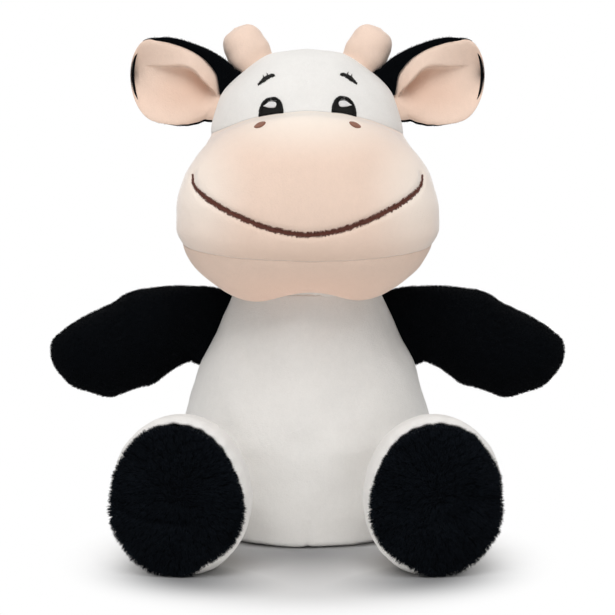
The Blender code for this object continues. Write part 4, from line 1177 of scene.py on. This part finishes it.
def stitch_face(context, outer, rows, columns):
    tint = settings(context)[2]
    surface = surface_of(outer)
    seam = outer[rows["muzzle"][0]][columns["muzzle"]]
    seam = seam[np.argsort(seam[:, 0])]
    brown, rose = thread("brown_thread", tint.brown), thread("rose_thread", tint.rose)
    ink, pearl = thread("ink_thread", tint.ink, gloss=0.1), thread("pearl_thread", tint.pearl, gloss=0.1)
    stitch_smile(surface, brown)

    def foot_at(x):
        return np.interp(x, seam[:, 0], seam[:, 2]) + EYE_RISE

    for side, word in SIDES:
        stitch_eye(surface, side, word, foot_at, ink)
        stitch_glint(surface, side, word, foot_at(side * EYE_SPREAD), pearl)
        stitch_brow(surface, side, word, foot_at(side * EYE_SPREAD), ink)
        stitch_nostril(surface, side, word, rose)


def stitch_smile(surface, finish):
    """Close stitches across the smile's line, a little slanted and shorter at its ends."""
    draw = np.random.default_rng(5)
    route = smile_points()
    run = np.append(0, np.linalg.norm(np.diff(route, axis=0), axis=1).cumsum())
    spots = np.arange(0, run[-1], SMILE_PITCH)
    x, z = np.interp(spots, run, route[:, 0]), np.interp(spots, run, route[:, 1])
    along = unit(np.stack([np.gradient(x), np.gradient(z)], 1))
    across = np.stack([-along[:, 1], along[:, 0]], 1) + along * 0.35
    near = np.minimum(spots, run[-1] - spots)
    ends = SMILE_STITCH * draw.uniform(0.6, 1.4, (2, len(spots))) * np.clip(0.25 + near / SMILE_TAPER, 0, 1)
    middle = np.stack([x, z], 1)
    piece = stitches("smile_stitches", middle - across * ends[0][:, None], middle + across * ends[1][:, None],
                     surface, finish, THREAD, 0.35 * MM)
    hold(piece, "brown_thread", "smile_line", body="head")


def stitch_eye(surface, side, word, foot_at, finish):
    """An upright satin arch with a raised rim of short stitches."""
    draw = np.random.default_rng(7)
    reach = np.linspace(-0.98, 0.98, 54)
    x = side * EYE_SPREAD + EYE_WIDTH / 2 * reach
    top = foot_at(x) + (EYE_HEIGHT - EYE_DROP) * (1 - np.abs(reach) ** EYE_SQUARE) ** (1 / EYE_ROUND)
    starts = np.stack([x, foot_at(x) - EYE_SEAT], 1)
    ends = np.stack([x, top - EYE_BORDER], 1)
    fill = stitches("eye_fill_stitches_" + word, starts, ends, surface, finish, THREAD, 0.25 * MM)
    hold(fill, "black_thread", "eye_" + word, body="head")
    turns = np.linspace(0.05, math.pi - 0.05, 96)
    reach = np.abs(np.cos(turns)) ** (2 / EYE_SQUARE)
    x = side * EYE_SPREAD + (EYE_WIDTH / 2 - EYE_BORDER * 0.6) * reach * np.sign(np.cos(turns))
    tall = EYE_HEIGHT - EYE_DROP - EYE_BORDER * 0.6 + EYE_SEAT
    rim = np.stack([x, foot_at(x) - EYE_SEAT + tall * np.sin(turns) ** (2 / EYE_ROUND)], 1)
    out = unit(np.stack([np.cos(turns), np.sin(turns)], 1))
    reach = EYE_BORDER * draw.uniform(0.7, 1.3, (2, len(turns), 1))
    ring = stitches("eye_rim_stitches_" + word, rim - out * reach[0], rim + out * reach[1] * 0.75,
                    surface, finish, THREAD, 0.55 * MM)
    hold(ring, "black_thread", body="head")


def stitch_glint(surface, side, word, foot, finish):
    """A white drop on the fill of the eye, with its tail towards the temple."""
    place = np.linspace(GLINT_SHAPE[0][0], GLINT_SHAPE[-1][0], 27)
    low, high = follow(GLINT_SHAPE, place)
    x = side * (EYE_SPREAD + place * MM)
    starts, ends = np.stack([x, foot + low * MM], 1), np.stack([x, foot + high * MM], 1)
    piece = stitches("eye_glint_stitches_" + word, starts, ends, surface, finish, FINE_THREAD, 0.75 * MM)
    hold(piece, "white_thread", "eye_glint_" + word, body="head")


def stitch_brow(surface, side, word, foot, finish):
    """A short slanting brow with a few longer lashes."""
    draw = np.random.default_rng(9)
    part = np.linspace(0, 1, 38)
    x = side * (EYE_SPREAD - BROW_LENGTH * BROW_INSET + BROW_LENGTH * part)
    z = foot + BROW_RISE - BROW_DROP + BROW_LENGTH * BROW_SLOPE * np.sin(math.pi / 2 * (1 - part))
    half = BROW_STITCH * np.sin(math.pi * (0.12 + 0.78 * part)) ** 0.7 * draw.uniform(0.7, 1.3, len(part))
    up = half.copy()
    for stitch, longer in LASHES:
        up[stitch] += longer
    tilt = np.array([side * 0.45, 0.9])
    middle = np.stack([x, z], 1)
    piece = stitches("brow_stitches_" + word, middle - tilt * half[:, None], middle + tilt * up[:, None],
                     surface, finish, FINE_THREAD, 0.3 * MM)
    hold(piece, "black_thread", "brow_" + word, body="head")


def stitch_nostril(surface, side, word, finish):
    """A slanting oval of satin stitches."""
    place = np.linspace(-0.97, 0.97, 26)
    along = NOSTRIL_LENGTH / 2 * NOSTRIL_FILL_SHARE * place
    half = NOSTRIL_WIDTH / 2 * (1 - place ** 2) ** 0.75 + 0.1 * MM
    level = TORSO_HEIGHT + HEAD_HEIGHT * NOSTRIL_HEIGHT_SHARE + NOSTRIL_LIFT
    middle = np.stack([side * (NOSTRIL_SPREAD + along * math.cos(NOSTRIL_SLANT)),
                       level - along * math.sin(NOSTRIL_SLANT)], 1)
    tilt = np.array([side * math.sin(NOSTRIL_SLANT), math.cos(NOSTRIL_SLANT)])
    piece = stitches("nostril_stitches_" + word, middle - tilt * half[:, None], middle + tilt * half[:, None],
                     surface, finish, 0.19 * MM, 0.3 * MM)
    hold(piece, "rose_thread", "nostril_" + word, body="head")


def dress_horns(context):
    tint = settings(context)[2]
    cream = minky("cream_minky_horns", tint.cream, 0.92, 1.08)
    plain = surface_of(head_grid()[0])
    foot = np.array(plain.ray_cast(Vector((HORN_SPREAD, HORN_SETBACK, 1.0)), Vector((0, 0, -1)))[0])
    run = np.concatenate([np.linspace(-0.22, 0, 6)[:-1], np.sin(np.linspace(0, math.pi / 2, 46))])[:, None]
    grid = horn(foot, *np.broadcast_arrays(run, full_turn(72)))
    normals = facing(grid, True)
    grid = grid + normals * (0.2 * MM * waves(grid, 9 * MM, 31))[..., None]
    inner = grid - normals * CLOTH
    inner[-1] = inner[-1].mean(0)
    for side, word in SIDES:
        piece = cover("horn_cloth_" + word, grid, inner, cream, side, True)
        hold(piece, "cream_minky", "horn_" + word, body="head", fill=0.9)


def dress_ears(context):
    _, pile, tint = settings(context)
    cream = minky("cream_minky_ears", tint.cream, 0.9, 1.05, sheen=0.5, painted_tones=EAR_PAINTED_SHADE)
    black = black_minky("black_minky_ears", tint.black)
    coat = fur("black_pile_ears", tint.black)
    lining, under = ear_lining()
    back, normals, seen = ear_back()
    inside = back - normals * EAR_BACK_CLOTH
    comb = unit(np.gradient(back, axis=0)) + (0, 0, 0.2)
    for side, word in SIDES:
        bend = seam_bend("ear", side, word)
        piece = cover("ear_lining_cloth_" + word, lining, under, cream, side)
        hold(piece, "cream_minky", "ear_lining_" + word, blend=bend, fill=0.3)
        piece = cover("ear_back_cloth_" + word, back, inside, black, side)
        hold(piece, "black_minky", "ear_back_" + word, blend=bend)
        hair = strands("ear_back_pile_" + word, side, (back, normals, comb), coat,
                       (4.0, pile.arm_pile * 0.8, 0.08 * MM, 0.9, 0.3, 0.2), 43, seen)
        hold(hair, "black_minky", blend=bend)


def ear_runs():
    """Runs of the ear's rows: a few inside the head, then closer and closer towards the tip."""
    inside = np.linspace(-EAR_SINK_SHARE, 0, 8)[:-1]
    return np.concatenate([inside, np.sin(np.linspace(0, math.pi / 2, 84))])[:, None]


def ear_fold(run):
    """How deep the ear's fold is along its run: full near the head and gone towards the tip."""
    return np.clip(1 - (run - EAR_FOLD_START) / EAR_FOLD_FADE, 0, 1) ** 1.5


def ear_lining():
    """Front and back of the left ear's lining: a padded cup, folded along a crease under its upper edge."""
    run = ear_runs()
    edge, crease = follow(LINING_EDGE, run)[0], follow(EAR_CREASE, run)[0]
    low = -1 + 0.05 * np.clip(1 - run / 0.6, 0, 1)
    place = low + (edge - low) * np.linspace(0, 1, 130)[None]
    sheet = ear(np.broadcast_to(run, place.shape), place)
    far = runs(sheet)
    near = np.minimum(np.minimum(far["first_side"], far["last_side"]), far["last_row"])
    puff = EAR_PUFF * (1 - np.exp(-near / EAR_PUFF_RUN))
    fade = ear_fold(run)
    below = np.clip((crease - place) / 0.9, 0, 1)
    valley = EAR_VALLEY * fade * np.where(place < crease, (1 - below) ** 2.2, 0) * np.clip(run / 0.15, 0, 1)
    fold = 1 / (1 + np.exp(-np.clip((place - crease) / 0.018, -40, 40)))
    past = np.clip((place - crease) / (edge - crease), 0, 1)
    rise = EAR_FLAP * (1 - 0.85 * past) * fade * fold * np.clip(run / 0.2, 0, 1)
    push = CLOTH + puff - valley + rise + 0.12 * MM * waves(sheet, 12 * MM, 41)
    seat = push - CLOTH * np.minimum(near / MM + 0.2, 1)
    return sheet - place_at(0, push, 0), sheet - place_at(0, seat, 0)


def ear_back():
    """Outer side of the left ear's back, which rolls over its upper rim to the lining's edge, its normals,
    and where its pile shows."""
    run = ear_runs()
    edge, crease = follow(LINING_EDGE, run)[0], follow(EAR_CREASE, run)[0]
    roll = 40
    turn = np.linspace(0, math.pi / 2, roll)[None]
    ahead = edge + (1 - edge) * np.sin(turn)
    down = np.broadcast_to(np.linspace(1, -1, 70)[None, 1:], (len(run), 69))
    place = np.concatenate([ahead, down], 1)
    sheet = ear(np.broadcast_to(run, place.shape), place)
    # The roll stands over the lining's edge; the rest is padded away from the lining
    band = (1 - edge) * EAR_HALF_HEIGHT
    over = (np.minimum(band * 0.5, EAR_ROLL) + EAR_ROLL_SEAT) * np.cos(turn) ** 0.7 + 0 * ahead
    away = EAR_BACK_PUFF * np.sin(math.pi / 2 * np.minimum((1 - np.abs(down)) / 0.2, 1))
    away = away + EAR_BACK_SWELL * (1 - np.abs(down)) * (1 - run)
    lift = np.concatenate([over, -away], 1)
    # Behind the lining's valley it bulges, so that the valley has room
    bulge = np.exp(-((place - crease) / 0.5) ** 2) * ear_fold(run) * np.clip(run / 0.12, 0, 1)
    bulge[:, :roll] = 0
    lift = lift - EAR_VALLEY * bulge * np.clip((1 - np.abs(place)) / 0.12, 0, 1)
    draw = EAR_BACK_DRAW * np.clip((run - 0.4) / 0.6, 0, 1) ** 2
    spread = EAR_BACK_SPREAD * np.clip(1 - run / 0.8, 0, 1) * np.sign(place) * np.abs(place) ** 6
    outer = sheet + place_at(-draw, -lift, spread)
    normals = facing(outer)
    if normals[20:50, -30:, 1].mean() < 0:
        normals = -normals
    behind = np.concatenate([np.zeros(roll, bool), np.abs(down[0]) < 0.93])
    return outer, normals, (run <= EAR_BARE_TIP) | behind


def seam_bend(limb, side, word):
    """The two bodies that the cloth of a limb or an ear joins, and the points at the seam and out from it that
    bound its bend, which nothing here applies.
    """
    body, joint, reach = SEAM_BENDS[limb]
    root, _, out = seam_of(joint)
    return body, limb + "_" + word, tuple(mirror(root, side)), tuple(mirror(root + out * reach, side))


def limb_shares():
    """Shares of a limb's rows: round its root edge, then out to its end."""
    return np.concatenate([np.linspace(-1, 0, 9)[:-1], np.linspace(0, 1, 100)])[:, None]


def dress_arms(context):
    cloth, pile, tint = settings(context)
    black = black_minky("black_minky_arms", tint.black)
    coat = fur("black_pile_arms", tint.black)
    half = 64
    share, turn = np.broadcast_arrays(limb_shares(), full_turn(2 * half))
    whole = arm(share, turn, ARM_SINK)
    normals = facing(whole, True)
    parts = halves(len(whole), half)
    height = lumpy(whole, cloth, 51) * np.clip(share, 0, 1) ** 0.3 - ARM_INSET
    outer = panels(whole, normals, height, parts, cloth.seam_depth, cloth.seam_width)
    inner = outer - normals * CLOTH * 0.8
    inner[-1] = inner[-1].mean(0)
    outer[-1] = outer[-1].mean(0)
    comb = unit(np.gradient(outer, axis=0)) + (0, 0, -0.45)
    for side, word in SIDES:
        bend = seam_bend("arm", side, word)
        for face, (_, columns, _) in zip(("arm_front", "arm_back"), parts):
            piece = cover(face + "_cloth_" + word, outer[:, columns], inner[:, columns], black, side)
            hold(piece, "black_minky", face + "_panel_" + word, blend=bend, fill=0.6)
            fields = [field[:, columns] for field in (outer, normals, comb)]
            hair = strands(face + "_pile_" + word, side, fields, coat,
                           (pile.arm_density, pile.arm_pile, 0.1 * MM, 0.85, 0.3, 0.35), 53)
            hold(hair, "black_minky", blend=bend)


def dress_legs(context):
    cloth, pile, tint = settings(context)
    white = minky("white_minky_legs", tint.white)
    black = black_minky("black_fur_cloth", tint.black)
    # Painted light: the soles' fur is the arms' black made 3.4 times lighter
    coat = fur("black_fur_soles", shade(tint.black, 3.4))
    share, turn = np.broadcast_arrays(limb_shares(), full_turn(180))
    whole = leg(share, turn, LEG_SINK)
    normals = facing(whole, True)
    edge = runs(whole)["last_row"]
    ripple = cloth.gathers * np.sin(turn * 27 + 2 * np.sin(turn * 3)) * np.exp(-edge / (4 * MM))
    height = lumpy(whole, cloth, 61) * np.clip(share, 0, 1) ** 0.3 + ripple
    height = height - 0.7 * MM * np.exp(-edge / (2.0 * MM))
    near = np.clip((share - LEG_END_START) / (1 - LEG_END_START), 0, 1) ** 1.5
    rim = LEG_RIM * np.clip(np.cos(turn - LEG_RIM_TURN) * 1.5 + 0.4, 0, 1)
    middle = whole.mean(1, keepdims=True)
    for side, word in SIDES:
        trim = np.minimum(1 - (1 - foot_share(word, turn) - rim) * near, 1.02)
        outer = middle + (whole - middle) * trim[..., None] + normals * height[..., None]
        outer[..., 2] = np.maximum(outer[..., 2], 0)
        inner = outer - normals * CLOTH
        inner[..., 2] = np.maximum(inner[..., 2], CLOTH)
        piece = cover("leg_cloth_" + word, outer, inner, white, side, True)
        hold(piece, "white_minky", "leg_cover_" + word, blend=seam_bend("leg", side, word), fill=0.8)
        dress_sole(side, word, black, coat, pile)


def dress_sole(side, word, cloth_finish, coat, pile):
    """A padded sole whose fur stands out past its seam, with the crease of its dart."""
    step = np.concatenate([np.linspace(0, 1, 8)[:-1], np.linspace(1, 6, 90)])[:, None]
    step, turn = np.broadcast_arrays(step, full_turn(180))
    grid = sole(step, turn)
    ahead, across, rise = leg_aim()
    core = seam_of("leg_left_lift")[0] + rise
    flat = grid - core - ahead * ((grid - core) @ ahead)[..., None]
    grid = grid + flat * (foot_share(word, turn) - SOLE_FUR_ROOM - 1)[..., None]
    normals = facing(grid, True)
    centre = core + ahead * (LEG_LENGTH + SOLE_THICKNESS + SOLE_CROWN)
    front = np.clip((step - 1.2) / 1.0, 0, 1)
    height = 0.3 * MM * waves(grid, 14 * MM, 71) * front
    for line, depth, width in SOLE_LINES[word]:
        route = [centre + across * (LEG_HALF_WIDTH * x) + (0, 0, LEG_HALF_HEIGHT * z) for x, z in line]
        height = height + creased(grid, smooth_route(route, 14), depth * MM, width * MM) * front
    grid = grid + normals * height[..., None]
    grid[..., 2] = np.maximum(grid[..., 2], 0)
    piece = lathed("sole_cloth_" + word, mirror(grid, side), cloth_finish)
    hold(piece, "black_fur", "sole_" + word, body="leg_" + word, fill=0.5)
    comb = -unit(np.gradient(grid, axis=0)) + (0, 0, -0.25)
    fields = [closed(field) for field in (grid, normals, comb)]
    hair = strands("sole_fur_" + word, side, fields, coat,
                   (pile.sole_density, pile.sole_pile, 0.11 * MM, 0.9, 0.2, 0.4), 73, closed(step) > 1.3)
    low = np.zeros(len(hair.data.vertices) * 3, np.float32)
    hair.data.vertices.foreach_get("co", low)
    low[2::3] = np.maximum(low[2::3], SOLE_FUR_FLOOR)
    hair.data.vertices.foreach_set("co", low)
    hold(hair, "black_fur", body="leg_" + word)


def foot_share(word, turn):
    """Share of the sole's ellipse that a foot fills at a turn."""
    steps = np.linspace(0, 2 * math.pi, 13)
    shares = np.array(SOLE_OUTLINES[word] + SOLE_OUTLINES[word][:1])
    fine = np.linspace(0, 2 * math.pi, 181)
    smooth = np.interp(fine, steps, shares)[:-1]
    bell = np.exp(-(np.arange(-9, 10) / 5) ** 2)
    smooth = np.convolve(np.tile(smooth, 3), bell / bell.sum(), "same")[180:361]
    return np.interp(turn % (2 * math.pi), fine, smooth)


def dress_tail(context):
    _, pile, tint = settings(context)
    white = minky("white_minky_tail", tint.white)
    coat = fur("black_fur_tuft", tint.black)
    turn = full_turn(36)
    share = np.concatenate([[-0.34], np.linspace(-0.34, 1.0, 40), [1.0]])
    radius = np.full(len(share), TAIL_RADIUS - 0.2 * MM)
    radius[[0, -1]] = 0
    piece = lathed("tail_cloth", around(tail_line(share), radius, turn), white)
    start, _, _ = seam_of("tail_lift")
    bend = ("torso", "tail", tuple(start), tuple(start + (0, TAIL_BEND, 0)))
    hold(piece, "white_minky", "tail_tube", blend=bend)
    part = np.linspace(0, 1, 40)
    # The tiny run along Y keeps the rings' directions defined
    spine = tail_line(np.array([1.0])) + place_at(0, 0.0001 * MM * part, -(GAP + TUFT_LENGTH * part))
    swell = TUFT_RADIUS * 0.62 * follow(TUFT_SHARES, part)[0]
    swell[0] = 0
    core = around(spine, swell, turn)
    normals = facing(core, True)
    piece = lathed("tail_tuft_cloth", core, black_minky("black_tuft_cloth", tint.black))
    hold(piece, "black_fur", "tail_tuft", body="tail")
    core, normals = closed(core), closed(normals)
    comb = place_at(np.zeros(core.shape[:2]), 0, -1)
    hair = strands("tail_tuft_fur", 1, (core, normals, comb), coat,
                   (9.0, pile.tuft_pile, 0.11 * MM, 0.95, 0.2, 0.5), 83)
    hold(hair, "black_fur", body="tail")


def shrunk(node, depth):
    """Points and faces of a solid drawn in along its normals."""
    shape = bmesh.new()
    shape.from_mesh(frame["nodes"][node].data)
    bmesh.ops.remove_doubles(shape, verts=shape.verts, dist=0.002 * MM)
    shape.normal_update()
    for vertex in shape.verts:
        vertex.co -= vertex.normal * depth
        vertex.co.z = max(vertex.co.z, FIBRE_FLOOR)
    points = np.array([vertex.co for vertex in shape.verts])
    shape.verts.index_update()
    faces = [[vertex.index for vertex in face.verts] for face in shape.faces]
    shape.free()
    return points, np.array(faces)


def put_fill_in(context):
    """Fibre fill under the cloth, a little smaller than the solids, and the bag of pellets in the seat."""
    white = fibre("fibre_fill", FIBRE_WHITE)
    for body, nodes in frame["record"]["behaviour"]["bodies"].items():
        for node in nodes:
            if "stuffing" in node:
                points, faces = shrunk(node, FIBRE_INSET)
                piece = welded(node.replace("stuffing", "fibre"), points, faces, white)
                limb, _, word = body.partition("_")
                bend = limb in SEAM_BENDS and seam_bend(limb, -1 if word == "right" else 1, word)
                hold(piece, "fibre_fill", node, body=body, blend=bend, fill=0.7)
    frame["nodes"]["pellet_pouch"].material_slots[0].material = fibre("pellet_cloth", POUCH_WHITE)


def set_stage(context):
    studio = context.scene.plush_cow_studio
    mesh = bpy.data.meshes.new("studio_floor")
    points = [(FLOOR_RADIUS * math.cos(t), FLOOR_RADIUS * math.sin(t), -0.1 * MM) for t in full_turn(96)[0]]
    mesh.from_pydata(points, [], [list(range(96))])
    placed("studio_floor", mesh, floor_finish())
    set_world(context.scene, studio.world)
    add_lamp("key_lamp", (-0.1, -0.86, 1.36), (1.0, 1.0), studio.key)
    add_lamp("rim_lamp", (0.0, 0.9, 1.1), (1.6, 0.6), studio.rim)
    set_camera(context.scene, studio)


def floor_finish():
    """A pale floor with the cow's contact shadow painted into its colour for the camera, which turns plain white
    to the camera further out.
    """
    made = Finish("studio_floor", {"Roughness": 1.0, "Specular IOR Level": 0.0})
    camera = made.node("ShaderNodeLightPath", out="Is Camera Ray")
    # Painted shadow: the floor's colour is darker round the cow, by its feet and by its seat, to the camera only
    feet, seat = made.around(*FEET_SHADE), made.around(*SEAT_SHADE)
    near = made.around(*NEAR_SHADE) * camera
    contact = made.node("ShaderNodeMath", {"operation": "MAXIMUM"}, {0: feet, 1: seat}) * camera
    tone = made.mix(near, made.mix(made.noise(0.3, 1.0), *FLOOR_TONES), PAINTED_SHADOW_TONE)
    made.feed(made.shader.inputs["Base Color"], made.mix(contact, tone, PAINTED_CONTACT_SHADOW))
    oval = made.vector("ADD", made.place(), (0, WHITE_AHEAD, 0))
    oval = made.vector("MULTIPLY", oval, (1 / WHITE_OVAL[0], 1 / WHITE_OVAL[1], 0))
    far = made.ramp(made.size_of(oval), WHITE_START, WHITE_END, 0.0, 1.0)
    glow = made.node("ShaderNodeEmission", None, {"Color": (1, 1, 1, 1), "Strength": 1.0})
    lit = Wire(made, made.shader.outputs[0])
    both = made.node("ShaderNodeMixShader", None, {0: camera * far, 1: lit, 2: glow})
    made.feed(made.tree.nodes["Material Output"].inputs["Surface"], both)
    return made.material


def set_world(scene, strength):
    """White to the camera and to glossy rays, and an even light on everything else."""
    world = bpy.data.worlds.new("studio_world")
    world.use_nodes = True
    scene.world = world
    tree = world.node_tree
    path = tree.nodes.new("ShaderNodeLightPath")
    seen = tree.nodes.new("ShaderNodeMath")
    seen.operation = "MAXIMUM"
    lit, white = tree.nodes["Background"], tree.nodes.new("ShaderNodeBackground")
    for light, power in ((lit, strength), (white, 1.0)):
        light.inputs["Color"].default_value = (1, 1, 1, 1)
        light.inputs["Strength"].default_value = power
    both = tree.nodes.new("ShaderNodeMixShader")
    for source, target in ((path.outputs["Is Camera Ray"], seen.inputs[0]),
                           (path.outputs["Is Glossy Ray"], seen.inputs[1]),
                           (seen.outputs[0], both.inputs[0]),
                           (lit.outputs[0], both.inputs[1]),
                           (white.outputs[0], both.inputs[2]),
                           (both.outputs[0], tree.nodes["World Output"].inputs["Surface"])):
        tree.links.new(source, target)


def add_lamp(name, spot, size, power):
    light = bpy.data.lights.new(name, "AREA")
    light.shape = "RECTANGLE"
    light.size, light.size_y = size
    light.energy = power
    lamp = bpy.data.objects.new(name, light)
    lamp.location = spot
    lamp.rotation_euler = (Vector((0, 0, 0.1)) - Vector(spot)).to_track_quat("-Z", "Y").to_euler()
    bpy.context.scene.collection.objects.link(lamp)


def set_camera(scene, studio):
    data = bpy.data.cameras.new("studio_camera")
    data.lens = studio.lens
    data.sensor_width = 36.0
    camera = bpy.data.objects.new("studio_camera", data)
    tilt = studio.elevation
    camera.location = (0, -studio.distance * math.cos(tilt), studio.aim + studio.distance * math.sin(tilt))
    camera.rotation_euler = (math.pi / 2 - tilt, 0, 0)
    scene.collection.objects.link(camera)
    scene.camera = camera
    scene.view_settings.view_transform = "Standard"


# Operators, panel and run

class PLUSHCOW_OT_torso(bpy.types.Operator):
    """Covers the torso, seat and neck with white minky"""

    bl_idname = "plush_cow.torso"
    bl_label = "Dress Torso"

    def execute(self, context):
        dress_torso(context)
        return {"FINISHED"}


class PLUSHCOW_OT_head(bpy.types.Operator):
    """Covers the head with its crown, muzzle, chin and back panels, and stitches the face"""

    bl_idname = "plush_cow.head"
    bl_label = "Dress Head"

    def execute(self, context):
        outer, rows, columns = dress_head(context)
        stitch_face(context, outer, rows, columns)
        return {"FINISHED"}


class PLUSHCOW_OT_horns(bpy.types.Operator):
    """Covers both horns with cream minky"""

    bl_idname = "plush_cow.horns"
    bl_label = "Dress Horns"

    def execute(self, context):
        dress_horns(context)
        return {"FINISHED"}


class PLUSHCOW_OT_ears(bpy.types.Operator):
    """Makes both ears: a cream lining in a black back, rolled over at the root"""

    bl_idname = "plush_cow.ears"
    bl_label = "Dress Ears"

    def execute(self, context):
        dress_ears(context)
        return {"FINISHED"}


class PLUSHCOW_OT_arms(bpy.types.Operator):
    """Covers both arms with black minky and its pile"""

    bl_idname = "plush_cow.arms"
    bl_label = "Dress Arms"

    def execute(self, context):
        dress_arms(context)
        return {"FINISHED"}


class PLUSHCOW_OT_legs(bpy.types.Operator):
    """Covers both legs with white minky and their soles with black fur"""

    bl_idname = "plush_cow.legs"
    bl_label = "Dress Legs"

    def execute(self, context):
        dress_legs(context)
        return {"FINISHED"}


class PLUSHCOW_OT_tail(bpy.types.Operator):
    """Covers the tail and gives it a tuft of black fur"""

    bl_idname = "plush_cow.tail"
    bl_label = "Dress Tail"

    def execute(self, context):
        dress_tail(context)
        return {"FINISHED"}


class PLUSHCOW_OT_fill(bpy.types.Operator):
    """Puts fibre fill and the bag of pellets under the cloth"""

    bl_idname = "plush_cow.fill"
    bl_label = "Put Fill In"

    def execute(self, context):
        put_fill_in(context)
        return {"FINISHED"}


class PLUSHCOW_OT_stage(bpy.types.Operator):
    """Sets the floor, the world, the lamps and the camera"""

    bl_idname = "plush_cow.stage"
    bl_label = "Set Stage"

    def execute(self, context):
        set_stage(context)
        return {"FINISHED"}


OPERATORS = (PLUSHCOW_OT_torso, PLUSHCOW_OT_head, PLUSHCOW_OT_horns, PLUSHCOW_OT_ears, PLUSHCOW_OT_arms,
             PLUSHCOW_OT_legs, PLUSHCOW_OT_tail, PLUSHCOW_OT_fill, PLUSHCOW_OT_stage)
GROUPS = {"plush_cow_cloth": PlushCowCloth, "plush_cow_pile": PlushCowPile,
          "plush_cow_colours": PlushCowColours, "plush_cow_studio": PlushCowStudio}


class PLUSHCOW_PT_panel(bpy.types.Panel):
    """Lists the steps and what they can be set to"""

    bl_label = "Plush Cow"
    bl_space_type = "VIEW_3D"
    bl_region_type = "UI"
    bl_category = "Plush Cow"

    def draw(self, context):
        for name, group in GROUPS.items():
            box = self.layout.box()
            for field in group.__annotations__:
                box.prop(getattr(context.scene, name), field)
        for operator in OPERATORS:
            self.layout.operator(operator.bl_idname)


CLASSES = (*GROUPS.values(), *OPERATORS, PLUSHCOW_PT_panel)


def register():
    for item in CLASSES:
        bpy.utils.register_class(item)
    for name, group in GROUPS.items():
        setattr(bpy.types.Scene, name, bpy.props.PointerProperty(type=group))


def unregister():
    for name in GROUPS:
        delattr(bpy.types.Scene, name)
    for item in reversed(CLASSES):
        bpy.utils.unregister_class(item)


def main():
    register()
    bpy.ops.plush_cow.torso()
    bpy.ops.plush_cow.head()
    bpy.ops.plush_cow.horns()
    bpy.ops.plush_cow.ears()
    bpy.ops.plush_cow.arms()
    bpy.ops.plush_cow.legs()
    bpy.ops.plush_cow.tail()
    bpy.ops.plush_cow.fill()
    bpy.ops.plush_cow.stage()


if __name__ == "__main__":
    main()
